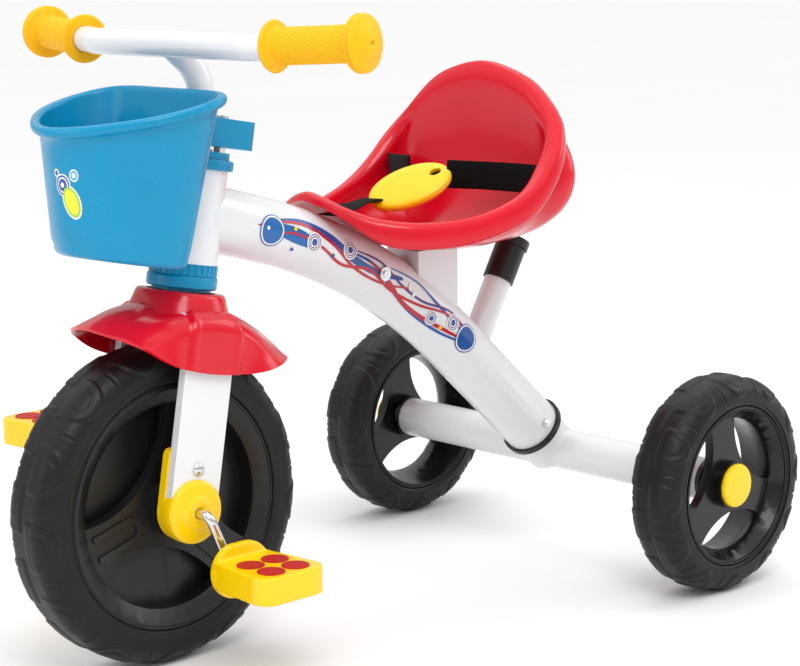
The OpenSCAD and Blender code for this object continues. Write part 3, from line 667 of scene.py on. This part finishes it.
class TRICYCLE_OT_harness(bpy.types.Operator):
    """Three webbing straps and the oval buckle cover that joins them"""

    bl_idname = "tricycle.harness"
    bl_label = "Harness"

    def execute(self, context):
        long, across, normal = buckle_axes()
        up = Vector((0, 0, 1))
        slot_x, slot_y, slot_z = SEAT_AT.x - 0.062, 0.0985, SEAT_AT.z + 0.061
        left = BUCKLE_AT + MM * Vector((-22.3, 23.3, 11.1))
        right = BUCKLE_AT + MM * Vector((-10, -11.5, 14))
        nose = BUCKLE_AT + MM * Vector((22.3, -23.3, -11))
        for side, start in (("left", left), ("right", right)):
            slot = Vector((slot_x, SIDES[side] * slot_y, slot_z))
            strap(side + "_strap_tape", "strap_" + side, start, slot, up, sag=0.006)
        nose_end = SEAT_AT + MM * Vector((96, -6, 37))
        flat = (nose_end - nose).cross(up)
        strap("crotch_strap_tape", "strap_crotch", nose, nose_end, flat, sag=0.002)

        def oval(name, layers, count, finish, at=(0, 0), **looks):
            """A stack of ovals in the buckle's own plane: (height, half length, half width) for each."""
            rings = [
                [
                    BUCKLE_AT
                    + MM * (long * (at[0] + rx * cos(a)) + across * (at[1] + ry * sin(a)) + normal * z)
                    for a in turns(count)
                ]
                for z, rx, ry in layers
            ]
            points, faces = loft(rings, cap_first=True, cap_last=True)
            return make(name, points, faces, finish, "frame", **looks)

        insets = (
            (-4.5, 6), (-4.5, 3), (-4.1, 1.4), (-3.2, 0.5), (-1.6, 0), (0.2, 0), (0.5, 0.6), (0.9, 0.6),
            (1.2, 0.1), (2.4, 0.5), (3.4, 1.5), (4.1, 3.2), (4.5, 6), (4.6, 10), (4.6, 15),
        )
        layers = [(z, 38 - inset, 22 - inset * 0.9) for z, inset in insets]
        cover = oval("buckle_cover", layers, 96, gold_finish(), sharp=50)
        hole = (25, 3)
        cutter = oval("slot_cutter", ((-9, 5.5, 3.6), (9, 5.5, 3.6)), 32, gold_finish(), hole, smooth=False)
        cut = cover.modifiers.new("slot", "BOOLEAN")
        cut.object = cutter
        cut.operation = "DIFFERENCE"
        apply_modifiers(cover)
        cover.data.set_sharp_from_angle(angle=radians(50))
        bpy.data.objects.remove(cutter)
        stand_for(cover, "buckle")
        layers = ((-4.4, 5.4, 3.5), (0.6, 5.4, 3.5), (1.2, 4.32, 2.8))
        plug = oval("buckle_plug", layers, 32, sleeve_finish(), hole, sharp=50)
        return {"FINISHED"}


# ---- Basket ----

BASKET_X, BASKET_L, BASKET_HALF, BASKET_LOW, BASKET_BACK, BASKET_FALL = 32, 107, 80, 190, 329, -0.405
BASKET_PLAN = [
    (0, 0), (0, 0.3), (0, 0.55), (0.03, 0.8), (0.12, 0.95), (0.29, 1.01), (0.46, 0.98), (0.64, 0.86),
    (0.8, 0.64), (0.94, 0.33), (1, 0),
]


def basket_plan(u):
    ring = [(x, -y) for x, y in BASKET_PLAN] + [BASKET_PLAN[i] for i in range(len(BASKET_PLAN) - 2, 0, -1)]
    return through(ring, u % 1)


def basket_point(u, s, out=0.0, up=0.0):
    """Point of the basket wall: u round the plan, s from 0 at the foot to 1 at the rim."""
    p = basket_plan(u)
    d = basket_plan(u + 0.004) - basket_plan(u - 0.004)
    d = d * np.array([BASKET_L, BASKET_HALF])
    o = np.array([d[1], -d[0]]) / np.linalg.norm(d)
    fx, fy = mix(0.75, 1, s), mix(0.78, 1, s)
    top = BASKET_BACK + BASKET_FALL * p[0] * BASKET_L
    x = BASKET_X + p[0] * BASKET_L * fx + mix(2.4, 0, s) + out * o[0]
    y = p[1] * BASKET_HALF * fy + out * o[1]
    return steering((x, y, mix(BASKET_LOW, top, s) + up))


class TRICYCLE_OT_basket(bpy.types.Operator):
    """Tapered basket with its rolled rim and the round stickers on its front"""

    bl_idname = "tricycle.basket"
    bl_label = "Basket"

    def execute(self, context):
        around = 200
        rows = [
            (0, -22, -0.2), (0, -12, 0), (0, -6.5, 0.1), (0, -4.0, 0.7), (0, -2.2, 1.8), (0, -1.0, 3.4),
            (0, -0.3, 5.2), (0, 0, 7.5),
        ]
        rows += [(s, 0, 0) for s in (0.12, 0.25, 0.4, 0.55, 0.7, 0.82, 0.9)]
        rows += [
            (1, 0, -8.6), (1, 0.6, -8.2), (1, 2.2, -8.0), (1, 3.6, -7.4), (1, 4.8, -6.2), (1, 5.5, -4.4),
            (1, 5.6, -2.6), (1, 5.1, -1.0), (1, 4.0, 0.1), (1, 2.6, 0.6), (1, 1.0, 0.6), (1, -0.6, 0.1),
            (1, -1.8, -1.0), (1, -2.4, -2.6), (1, -2.5, -5),
        ]
        rows += [(s, -2.5, 0) for s in (0.9, 0.75, 0.55, 0.35, 0.2)]
        rows += [(0, -2.7, 9), (0, -3.5, 6), (0, -5.4, 3.8), (0, -8.4, 2.7), (0, -14, 2.5), (0, -22, 2.5)]
        rings = [[basket_point(i / around, s, o, up) for i in range(around)] for s, o, up in rows]
        points, faces = loft(rings, cap_first=True, cap_last=True)
        basket = make("basket_shell", points, faces, sky_finish(), "steering")
        stand_for(basket, "basket")
        self.stickers()
        return {"FINISHED"}

    def stickers(self):
        white = ink_finish("white_ink", (0.86, 0.86, 0.84))
        dark = ink_finish("navy_ink", colours().navy)
        sky = ink_finish("sky_ink", (0.02, 0.33, 0.62))
        lemon = ink_finish("lemon_ink", (0.80, 0.72, 0.02))
        green = ink_finish("green_ink", (0.30, 0.55, 0.06))
        lift = sizes().print_lift / MM

        def disc(name, u, s, wide, high, finish, layer, inner=0.0, tilt=0.0):
            girth = (basket_point(u + 0.01, s) - basket_point(u - 0.01, s)).length / 0.02
            rise = (basket_point(u, s + 0.05) - basket_point(u, s - 0.05)).length / 0.1
            rings = []
            for k in (inner, (1 + inner) / 2, 1.0):
                ring = []
                for a in turns(40):
                    x, y = wide * k * cos(a), high * k * sin(a)
                    x, y = x * cos(tilt) - y * sin(tilt), x * sin(tilt) + y * cos(tilt)
                    ring.append(basket_point(u + x * MM / girth, s + y * MM / rise, lift * layer))
                rings.append(ring)
            points, faces = loft(rings if inner else rings[1:], cap_first=not inner)
            piece = make(name, points, faces, finish, "steering")

        disc("sticker_ring_base", 0.512, 0.565, 7.6, 8.6, white, 1)
        disc("sticker_ring_blue", 0.512, 0.565, 6.6, 7.5, dark, 2, 0.82)
        disc("sticker_ring_core", 0.512, 0.565, 4.2, 4.8, dark, 2)
        disc("sticker_ring_spot", 0.512, 0.565, 1.8, 2.0, white, 3)
        disc("sticker_dot_base", 0.535, 0.64, 4.2, 4.8, white, 1)
        disc("sticker_dot_ring", 0.535, 0.64, 3.2, 3.7, sky, 2, 0.6)
        disc("sticker_bead_base", 0.500, 0.655, 3.0, 3.4, white, 1)
        disc("sticker_bead_core", 0.500, 0.655, 1.7, 1.9, dark, 2)
        disc("sticker_leaf_base", 0.528, 0.435, 8.4, 13.6, white, 1.5, 0, 0.35)
        disc("sticker_leaf_green", 0.528, 0.435, 7.2, 12.2, green, 2.2, 0.6, 0.35)
        disc("sticker_leaf_lemon", 0.528, 0.435, 5.6, 10.2, lemon, 2.6, 0, 0.35)


# ---- Mudguard ----

GUARD_TUBE, GUARD_RING, GUARD_CROWN = 51.5, 112.0, 159.2
GUARD_SHIFT, GUARD_HALF, GUARD_FOOT = -7.0, 97.0, 110.0
GUARD_WALL = 0.0026


class TRICYCLE_OT_mudguard(bpy.types.Operator):
    """Leaf-shaped hood with a neck on top and a raised band over each fork blade"""

    bl_idname = "tricycle.mudguard"
    bl_label = "Mudguard"

    def block(self, a):
        """How far the box-shaped outline over the fork crown lies from the hood's middle line, at angle a."""
        wide, high, corner = 53.0, GUARD_CROWN - GUARD_RING, 17.0
        c, d = wide - corner, high - corner
        y, z = sin(abs(a)), cos(a)
        side = wide / y if y > 1e-6 else 1e9
        if side * z <= d:
            return side
        top = high / z if z > 1e-6 else 1e9
        if top * y <= c:
            return top
        m = c * y + d * z
        return m + sqrt(max(m * m - (c * c + d * d - corner * corner), 0))

    def hood(self, x, v):
        """Point of the hood at x along it, v from -1 to 1 across."""
        rel = min(1.0, abs(x - GUARD_SHIFT) / GUARD_HALF)
        tip_x = GUARD_HALF + abs(GUARD_SHIFT) * (1 if x < GUARD_SHIFT else -1)
        tip = sqrt((GUARD_RING + GUARD_TUBE) ** 2 - tip_x**2)
        low = mix(GUARD_FOOT, tip, rel**2.2)
        edge = acos(max(-0.05, min(0.9995, (sqrt(low * low + x * x) - GUARD_RING) / GUARD_TUBE)))
        a = v * edge
        flare = abs(v) ** 6
        box = max(self.block(a), GUARD_TUBE)
        saddle = smooth_step(88, 20, abs(x)) * smooth_step(0.1, 0.5, abs(a))
        tube = mix(GUARD_TUBE, box - 3.4, saddle)
        tube += 3.0 * flare * smooth_step(0.15, 0.6, rel) * smooth_step(1.0, 0.85, rel)
        band_half = mix(17.0, 26.0, smooth_step(0.3, 1.1, abs(a)))
        across = abs(x + 1.5 * smooth_step(0.4, 1.2, abs(a)))
        band = smooth_step(band_half + 2.6, band_half - 2.6, across) * smooth_step(0.15, 0.5, abs(a))
        bead = exp(-(((across - band_half + 4.4) / 2.2) ** 2)) * smooth_step(0.3, 0.6, abs(a))
        tube = mix(tube, max(box, tube), band) + 0.6 * bead
        r = GUARD_RING + tube * cos(a)
        y = tube * sin(a)
        return (x, y, sqrt(max(r * r - x * x, 1.0)))

    def execute(self, context):
        along, across = 210, 120
        xs = [GUARD_SHIFT + (GUARD_HALF - 0.1) * sin(pi / 2 * k) for k in np.linspace(-1, 1, along)]
        rows = [[steering(self.hood(x, v)) for v in np.linspace(-1, 1, across)] for x in xs]
        points, faces = loft(rows, closed=False)
        guard = make("mudguard_hood", points, faces, crimson_finish(), "steering")
        thicken(guard, GUARD_WALL, -1.0 if self.faces_out(guard) else 1.0)
        guard.data.shade_smooth()
        guard.data.set_sharp_from_angle(angle=radians(55))
        stand_for(guard, "mudguard")
        rings = []
        profile = [
            (144, 50), (147, 46.2), (150, 43.4), (154, 41.2), (158, 39.6), (163, 37.9), (167, 36.6),
            (169.2, 35.6), (170.4, 34.6), (171.0, 33.2), (171.0, 28.0),
        ]
        for z, r in profile:
            ring = []
            for a in turns(96):
                cx, cy = squared(a, 0.88, 0.88)
                ring.append(steering((0.94 * r * cx, r * cy, z)))
            rings.append(ring)
        points, faces = loft(rings)
        neck = make("mudguard_neck", points, faces, crimson_finish(), "steering", sharp=60)
        return {"FINISHED"}

    def faces_out(self, guard):
        face = min(guard.data.polygons, key=lambda f: (f.center - steering((0, 0, 165))).length)
        return face.normal.z > 0


# ---- Tyres ----

FRONT_RIM, REAR_RIM = 100, 71


def tyre_piece(node, centre, rim, lobes, body, phase):
    """Foam tyre: rounded section, raised tread lobes on both shoulders and short slits between them."""
    low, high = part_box(node)
    radius, h = (high.z - low.z) / 2 / MM, (high.y - low.y) / MM / 2
    tread = sizes().tread / MM
    r = radius - tread
    section = [(rim, h - 3), (rim + 1.2, h - 1.2), (rim + 3.5, h - 0.4), (rim + 6, h)]
    shoulder = 17
    flat = r - (shoulder + 5) - (rim + 6)
    section += [(rim + 6 + flat * k / 4, h + 0.25 * sin(pi * k / 4)) for k in (1, 2, 3)]
    for k in range(19):
        a = radians(90 - 82 * k / 18)
        section.append((r - shoulder + shoulder * cos(a), h - shoulder + shoulder * sin(a)))
    section.append((r + 0.15, 0))
    section += [(q, -y) for q, y in reversed(section[:-1])]
    fine = []
    for (r0, y0), (r1, y1) in zip(section, section[1:]):
        steps = max(1, round(sqrt((r1 - r0) ** 2 + (y1 - y0) ** 2) / 1.25))
        fine += [(mix(r0, r1, k / steps), mix(y0, y1, k / steps)) for k in range(steps)]
    fine.append(section[-1])
    fine = np.array(fine)
    step = np.linalg.norm(np.diff(fine, axis=0), axis=1)
    run = np.concatenate([[0], np.cumsum(step)])
    run -= run[-1] / 2
    tangent = np.gradient(fine, axis=0)
    normal = np.stack([-tangent[:, 1], tangent[:, 0]], 1)
    normal /= np.linalg.norm(normal, axis=1)[:, None]
    if normal[len(normal) // 2, 0] < 0:
        normal = -normal
    around = int(2 * pi * radius / 1.3 // (lobes * 4)) * lobes * 4
    angle = np.arange(around) / around * 2 * pi
    pitch = 2 * pi * radius / lobes
    reach = 0.5 * run[-1] + 7
    rings = []
    for (q, y), (nr, ny), s in zip(fine, normal, run):
        side = 1 if s > 0 else -1
        along = ((angle / (2 * pi) * lobes + phase + (0.5 if side < 0 else 0)) % 1 - 0.5) * pitch
        d = abs(s)
        wide = 0.33 * pitch
        lobe = np.sqrt((along / wide) ** 2 + (np.maximum(d - 2, 0) / reach) ** 2.4)
        height = tread * np.clip((1.0 - lobe) * 14, 0, 1) * (1 - smooth_step(4.5, 1.0, d))
        height += tread * 0.45 * np.exp(-(((lobe - 0.96) / 0.03) ** 2)) * smooth_step(2, 6, d)
        inner = np.sqrt((along / (wide * 0.55)) ** 2 + ((d - 12) / (reach * 0.42)) ** 2)
        height -= tread * 0.8 * np.exp(-(((inner - 1) / 0.09) ** 2)) * smooth_step(10, 16, d)
        gap = np.abs(np.abs(along) - pitch / 2)
        slit = smooth_step(reach * 0.45, reach * 0.52, d) * smooth_step(reach * 1.02, reach * 0.92, d)
        height -= tread * 0.95 * np.exp(-((gap / 0.9) ** 2)) * slit
        height += tread * 0.4 * np.exp(-(((gap - 2.4) / 0.9) ** 2)) * slit
        height *= smooth_step(rim + 1, rim + 9, q)
        ring = [
            centre + MM * Vector(((q + nr * k) * cos(a), y + ny * k, (q + nr * k) * sin(a)))
            for a, k in zip(angle, height)
        ]
        rings.append(ring)
    points, faces = loft(rings, loop=True)
    tyre = make(node + "_tread", points, faces, foam_finish(), body)
    return stand_for(tyre, node)


class TRICYCLE_OT_tyres(bpy.types.Operator):
    """Three foam tyres with raised tread"""

    bl_idname = "tricycle.tyres"
    bl_label = "Tyres"

    def execute(self, context):
        tyre_piece("front_tyre", FRONT_AXLE, FRONT_RIM, sizes().lobes_front, "front_wheel", 0.2)
        for side in SIDES:
            body = "rear_" + side + "_wheel"
            tyre_piece("rear_tyre_" + side, REAR_AXLE[side], REAR_RIM, sizes().lobes_rear, body, 0.0)
        return {"FINISHED"}


# ---- Wheels ----


def band(name, centre, profile, finish, body):
    """A ring turned round the axle from a closed profile of (radius, sideways) points, in millimetres."""
    rings = [[centre + MM * Vector((q * cos(a), y, q * sin(a))) for q, y in profile] for a in turns(192)]
    points, faces = loft(rings, loop=True)
    piece = make(name, points, faces, finish, body, sharp=40)
    return piece


def bead(radius, y, r):
    return [(radius + r * cos(a), y + r * sin(a)) for a in turns(10)]


class TRICYCLE_OT_wheels(bpy.types.Operator):
    """Rims with rounded edges, a fine lip where each rim meets its tyre, and the hub caps"""

    bl_idname = "tricycle.wheels"
    bl_label = "Wheels"

    def execute(self, context):
        softened("front_rim", satin_black_finish(), 0.0011)
        for node in both("rear_rim"):
            softened(node, rim_finish(), 0.0008)
        for side, s in SIDES.items():
            satin = satin_black_finish()
            band("front_lip_" + side, FRONT_AXLE, bead(98.2, s * 25.1, 0.9), satin, "front_wheel")
            band("front_ledge_" + side, FRONT_AXLE, bead(90.5, s * 21.2, 0.8), satin, "front_wheel")
            body = "rear_" + side + "_wheel"
            for where, face in (("outer", 1), ("inner", -1)):
                ring = bead(69.4, s * face * 23.9, 0.8)
                band("rear_lip_%s_%s" % (side, where), REAR_AXLE[side], ring, rim_finish(), body)
            softened("hub_cap_" + side, gold_finish(), 0.0008)
        return {"FINISHED"}


# ---- Grips ----


def long_axis(node, outward):
    """The middle line of a turned node: its inner end, its outer end and its direction outwards."""
    co = np.array([v.co for v in frame["nodes"][node].data.vertices])
    _, _, rows = np.linalg.svd(co - co.mean(0), full_matrices=False)
    d = rows[0] / np.linalg.norm(rows[0])
    if d @ np.array(outward) < 0:
        d = -d
    mean = co.mean(0)
    reach = (co - mean) @ d
    return Vector(mean + d * reach.min()), Vector(mean + d * reach.max()), Vector(d)


class TRICYCLE_OT_grips(bpy.types.Operator):
    """Rubber grips: a thin inner flange, a diamond-cut barrel and a domed outer flange"""

    bl_idname = "tricycle.grips"
    bl_label = "Grips"

    def execute(self, context):
        for side, s in SIDES.items():
            node = "grip_" + side
            inner, outer, d = long_axis(node, (0, s, 0))
            span = (outer - inner).length / MM
            u = d.cross(Vector((0, 0, 1))).normalized()
            v = d.cross(u)
            profile = [
                (10.9, 0.4), (18, 0), (19.4, 0.5), (20.1, 1.8), (19.6, 3.2), (17.6, 3.9), (15.2, 4.6),
                (13.6, 6),
            ]
            barrel_0, barrel_1 = 7.5, span - 15.5
            profile += [(13.0, barrel_0)]
            profile += [(13.35, mix(barrel_0, barrel_1, k / 88)) for k in range(1, 88)]
            profile += [
                (q, barrel_1 + x)
                for q, x in (
                    (13.0, 0), (14.6, 1.1), (18.8, 2.0), (21.2, 2.8), (22.0, 4.0), (21.7, 5.2),
                    (20.6, 5.7), (20.4, 6.2), (21.4, 6.7), (21.9, 8.0), (21.3, 9.4), (19.2, 10.4),
                    (15.6, 11.0), (14.0, 11.9),
                )
            ]
            profile += [
                (q, span - x)
                for q, x in (
                    (12.4, 2.2), (9.6, 0.9), (6.0, 0.2), (2.4, 0), (1.7, 0.3), (1.5, 2.5), (0.05, 2.5),
                )
            ]
            around, diamonds, slant = 168, 28, 6.0
            depth = sizes().knurl / MM
            rings = []
            for q, at in profile:
                ring = []
                on = smooth_step(barrel_0 + 0.5, barrel_0 + 2.5, at)
                on *= smooth_step(barrel_1 - 0.5, barrel_1 - 2.5, at)
                for a in turns(around):
                    p = (a / (2 * pi) * diamonds + at / slant) % 1
                    m = (a / (2 * pi) * diamonds - at / slant) % 1
                    diamond = min(1, 2.2 * min(p, 1 - p)) * min(1, 2.2 * min(m, 1 - m))
                    r = q + depth * 1.6 * on * diamond
                    ring.append(inner + MM * (d * at + u * r * cos(a) + v * r * sin(a)))
                rings.append(ring)
            points, faces = loft(rings, cap_last=True)
            grip = make(node + "_rubber", points, faces, grip_finish(), "steering", sharp=70)
            stand_for(grip, node)
        return {"FINISHED"}


# ---- Moulded and turned parts carried over from the frame ----


CAP_OUTLINE = (
    (25.4, 38.6), (25.7, 40), (25.7, 48), (25.2, 50), (23.9, 51.3), (21.5, 52.0), (14.5, 52.9), (13.4, 53.4),
    (12.6, 54.2), (11.4, 54.6), (5.0, 54.6), (4.4, 54.2),
)


class TRICYCLE_OT_frame_parts(bpy.types.Operator):
    """Paint, plastic and steel on the tubes, fork, bushes and fasteners, with rounded moulded edges"""

    bl_idname = "tricycle.frame_parts"
    bl_label = "Frame and fork"

    def execute(self, context):
        edge = sizes().edge
        repaint(
            paint_finish(), "head_tube", "main_beam", "beam_neck", "axle_tube", "push_socket", "steerer_tube",
            "stem", "handlebar", "seat_bracket",
        )
        softened("fork_crown", paint_finish(), edge)
        for node in both("fork_blade"):
            softened(node, paint_finish(), edge)
        repaint(rim_finish(), "beam_collar")
        repaint(sleeve_finish(), "push_sleeve", *both("axle_bush"))
        repaint(
            steel_finish(), "axle_rod", *both("axle_nut"), "seat_bolts", "beam_screws", "clamp_bolt",
            *both("fork_screw"), "crankshaft",
        )
        repaint(sky_finish(), "head_bush_lower", "head_bush_upper")
        softened("basket_clamp", sky_finish(), edge * 1.4)
        for node in both("bearing"):
            softened(node, gold_finish(), edge * 0.8)
        for side, s in SIDES.items():
            outline = [(q, s * y) for q, y in CAP_OUTLINE]
            turned = band("cap_cover_" + side, FRONT_AXLE, outline, gold_finish(), "steering")
            stand_for(turned, "cap_" + side)
            melted("pedal_" + side, gold_finish(), voxel=0.0009, passes=16)
        repaint(stud_finish(), *both("pedal_studs"))
        return {"FINISHED"}


# ---- Graphics on the beam ----

BEAM_R = 27.0


def beam_line(s):
    """Centre and slope of the main beam, s millimetres back from the steering head."""
    low, high = radians(15.5), radians(41.774)
    bend_r, straight = 560.0, 70.16
    arc = bend_r * (high - low)
    start = np.array([176.8, 359.2])
    ahead = start - min(s, straight) * np.array([cos(low), sin(low)])
    if s <= straight:
        return ahead, low
    turn = low + min(s - straight, arc) / bend_r
    at = ahead + bend_r * np.array([sin(low) - sin(turn), cos(turn) - cos(low)])
    if s <= straight + arc:
        return at, turn
    return at - (s - straight - arc) * np.array([cos(high), sin(high)]), high


def on_beam(s, v, lift):
    """Point on the beam's left side: s back along it, v up round it from its side line, in millimetres."""
    (x, z), slope = beam_line(s)
    r = BEAM_R + lift
    a = v / BEAM_R
    up = np.array([-sin(slope), cos(slope)])
    return MM * Vector((x + up[0] * r * sin(a), r * cos(a), z + up[1] * r * sin(a)))


class TRICYCLE_OT_graphics(bpy.types.Operator):
    """Printed discs, rings and crossing ribbons on the left and right of the beam"""

    bl_idname = "tricycle.graphics"
    bl_label = "Beam graphics"

    def put(self, name, rows, finish, closed, cap=False):
        for side, s in SIDES.items():
            there = [[Vector((p.x, p.y * s, p.z)) for p in row] for row in rows]
            points, faces = loft(there, closed=closed, cap_first=cap)
            piece = make(name + "_" + side, points, faces, finish, "frame")

    def disc(self, name, s, v, r, finish, layer, inner=0.0):
        lift = sizes().print_lift / MM * layer
        shares = [inner, (inner + 1) / 2, 1.0] if inner else [0.02, 0.35, 0.7, 1.0]
        rows = [
            [on_beam(s + r * k * cos(a), v + r * k * sin(a), lift) for a in turns(48)]
            for k in shares
        ]
        self.put(name, rows, finish, True, not inner)

    def ribbon(self, name, path, wide, finish, layer):
        """A tapering ribbon through (along, up) points."""
        steps = 14
        lift = sizes().print_lift / MM * layer
        pts = [np.array(p, float) for p in path]
        pts = [2 * pts[0] - pts[1]] + pts + [2 * pts[-1] - pts[-2]]
        line = []
        for i in range(1, len(pts) - 2):
            line += [spline(*pts[i - 1 : i + 3], k / steps) for k in range(steps)]
        line.append(pts[-2])
        rows = []
        for i, p in enumerate(line):
            q = line[min(i + 1, len(line) - 1)] - line[max(i - 1, 0)]
            n = np.array([-q[1], q[0]]) / np.linalg.norm(q)
            u = i / (len(line) - 1)
            w = wide * (0.35 + 0.65 * sin(pi * u) ** 0.6) / 2
            rows.append([on_beam(*(p + n * w * e), lift) for e in (-1, 0, 1)])
        self.put(name, rows, finish, False)

    def execute(self, context):
        navy = ink_finish("navy_ink", colours().navy)
        sky = ink_finish("bright_blue_ink", (0.0, 0.11, 0.38))
        red = ink_finish("red_ink", colours().red_ink)
        violet = ink_finish("violet_ink", (0.09, 0.02, 0.20))
        white = ink_finish("white_ink", (0.86, 0.86, 0.84))
        gold = ink_finish("gold_ink", (0.85, 0.50, 0.01))
        ribbons = (
            ("sky", 13, sky, 1, ((68, 3), (92, 1), (116, -2))),
            ("navy_top", 7, navy, 1.5, ((74, 10), (100, 13), (128, 9), (158, 0), (190, -2), (222, 5))),
            ("navy_mid", 3.2, navy, 1.6, (
                (150, 4), (185, 3), (215, -8), (248, -15), (285, -14), (318, -6),
            )),
            ("navy_low", 2.6, navy, 1.7, ((205, 8), (240, 11), (270, 6), (296, 3), (320, 2))),
            ("red_top", 2.6, red, 2.2, (
                (50, 2), (76, 9), (104, 11), (134, 4), (164, -7), (200, -8), (236, 2),
            )),
            ("red_mid", 2.6, red, 2.4, (
                (56, -6), (88, 2), (120, -1), (150, -9), (182, -3), (214, -9), (250, -6), (286, 4),
                (318, 6),
            )),
            ("red_low", 3.6, red, 2.6, ((178, 4), (206, -3), (232, -12), (262, -13), (294, -8), (318, -3))),
            ("violet", 2.2, violet, 2.0, ((160, 7), (192, 8), (222, 0), (254, -1), (290, 9), (314, 6))),
        )
        for name, wide, ink, layer, path in ribbons:
            self.ribbon("ribbon_" + name, path, wide, ink, layer)
        for name, s, v, r in (("front", 66, 0, 11.6), ("rear", 320, 0, 11.4)):
            self.disc("disc_%s_edge" % name, s, v, r + 1.6, sky if name == "front" else navy, 2.8, 0.93)
            self.disc("disc_%s_gap" % name, s, v, r + 0.5, white, 2.8, 0.9)
            self.disc("disc_" + name, s, v, r - 0.8, sky if name == "front" else navy, 3.0)
        self.disc("disc_front_spot", 61, 1.5, 1.6, white, 3.6)
        for name, s, v, r in (("a", 113, 0, 8.2), ("b", 154, 5, 8.0), ("c", 272, -8, 6.6), ("d", 297, 2, 7.8)):
            self.disc("ring_%s_base" % name, s, v, r, white, 3.4)
            self.disc("ring_%s_line" % name, s, v, r * 0.84, violet, 3.8, 0.88)
            self.disc("ring_%s_line2" % name, s, v, r * 0.62, violet, 3.8, 0.82)
            self.disc("ring_%s_core" % name, s, v, r * 0.36, navy, 3.8)
        for name, s, v, r, ink in (
            ("a", 90, 6, 1.9, gold), ("b", 287, -9, 1.9, gold), ("c", 137, -5, 1.7, navy),
            ("d", 92, -11, 1.6, navy), ("e", 233, 3, 2.6, white), ("f", 240, -1, 1.9, white),
        ):
            self.disc("dot_" + name, s, v, r, ink, 3.9)
        return {"FINISHED"}


# ---- Stage ----


class TRICYCLE_OT_studio(bpy.types.Operator):
    """Pale floor, soft boxes and the camera"""

    bl_idname = "tricycle.studio"
    bl_label = "Studio"

    def lamp(self, name, at, aim, size, power):
        light = bpy.data.lights.new(name, "AREA")
        light.shape = "RECTANGLE"
        light.size, light.size_y = size
        light.energy = power
        box = place(name, light)
        box.location = at
        box.rotation_euler = (Vector(aim) - Vector(at)).to_track_quat("-Z", "Y").to_euler()

    def execute(self, context):
        mesh = bpy.data.meshes.new("floor")
        half = 45.0
        corners = [(x * half, y * half, 0) for x, y in ((-1, -1), (1, -1), (1, 1), (-1, 1))]
        mesh.from_pydata(corners, [], [(0, 1, 2, 3)])
        mesh.materials.append(floor_finish())
        floor = place("floor", mesh)
        floor.location.z = cad_box[0][2] - 0.0005
        centre = (0.0, 0.0, 0.28)
        self.lamp("key_box", (0.9, 1.3, 1.9), centre, (1.2, 0.9), 19)
        self.lamp("fill_box", (2.2, -0.7, 1.0), centre, (1.0, 1.3), 6)
        self.lamp("back_box", (-1.9, 0.9, 1.2), centre, (0.9, 1.4), 8)
        self.lamp("top_box", (-0.2, -0.6, 2.3), centre, (1.4, 1.4), 6)
        world = bpy.data.worlds.new("studio_air")
        world.use_nodes = True
        air = world.node_tree.nodes["Background"]
        air.inputs["Color"].default_value = (1, 1, 1, 1)
        tree = world.node_tree
        dim, bright = 0.42, 1.45
        split = tree.nodes.new("ShaderNodeSeparateXYZ")
        tree.links.new(tree.nodes.new("ShaderNodeTexCoord").outputs["Generated"], split.inputs["Vector"])
        tree.links.new(spread(tree, split.outputs["Z"], dim, bright, 0.0, 1.0), air.inputs["Strength"])
        context.scene.world = world
        context.scene.view_settings.view_transform = "Standard"
        camera = bpy.data.cameras.new("camera")
        camera.lens = 97.5
        camera.sensor_width = 36
        camera.clip_start = 0.01
        view = place("camera", camera)
        ahead = Vector((-0.67792, -0.71357, -0.17672)).normalized()
        up = Vector((-0.12951, -0.12071, 0.98420))
        right = ahead.cross(up).normalized()
        up = right.cross(ahead)
        turn = Matrix((right, up, -ahead)).transposed().to_4x4()
        standpoint = (1.2402, 1.3621, 0.5692)
        view.matrix_world = Matrix.Translation(standpoint) @ turn
        context.scene.camera = view
        return {"FINISHED"}


OPERATORS = (
    TRICYCLE_OT_frame_parts,
    TRICYCLE_OT_seat,
    TRICYCLE_OT_harness,
    TRICYCLE_OT_basket,
    TRICYCLE_OT_mudguard,
    TRICYCLE_OT_tyres,
    TRICYCLE_OT_wheels,
    TRICYCLE_OT_grips,
    TRICYCLE_OT_graphics,
    TRICYCLE_OT_studio,
)


class TRICYCLE_PT_panel(bpy.types.Panel):
    """Settings and build buttons in the sidebar"""

    bl_idname = "TRICYCLE_PT_panel"
    bl_label = "Child's Tricycle"
    bl_space_type = "VIEW_3D"
    bl_region_type = "UI"
    bl_category = "Tricycle"

    def draw(self, context):
        for title, group in (("Colours", colours()), ("Sizes", sizes())):
            box = self.layout.box()
            box.label(text=title)
            for name in group.__annotations__:
                box.prop(group, name)
        for operator in OPERATORS:
            self.layout.operator(operator.bl_idname)


CLASSES = (TricycleColours, TricycleSizes, *OPERATORS, TRICYCLE_PT_panel)


def register():
    for cls in CLASSES:
        bpy.utils.register_class(cls)
    bpy.types.Scene.tricycle_colours = PointerProperty(type=TricycleColours)
    bpy.types.Scene.tricycle_sizes = PointerProperty(type=TricycleSizes)


def unregister():
    del bpy.types.Scene.tricycle_sizes
    del bpy.types.Scene.tricycle_colours
    for cls in reversed(CLASSES):
        bpy.utils.unregister_class(cls)


def main():
    register()
    for operator in OPERATORS:
        group, name = operator.bl_idname.split(".")
        getattr(getattr(bpy.ops, group), name)()


if __name__ == "__main__":
    main()
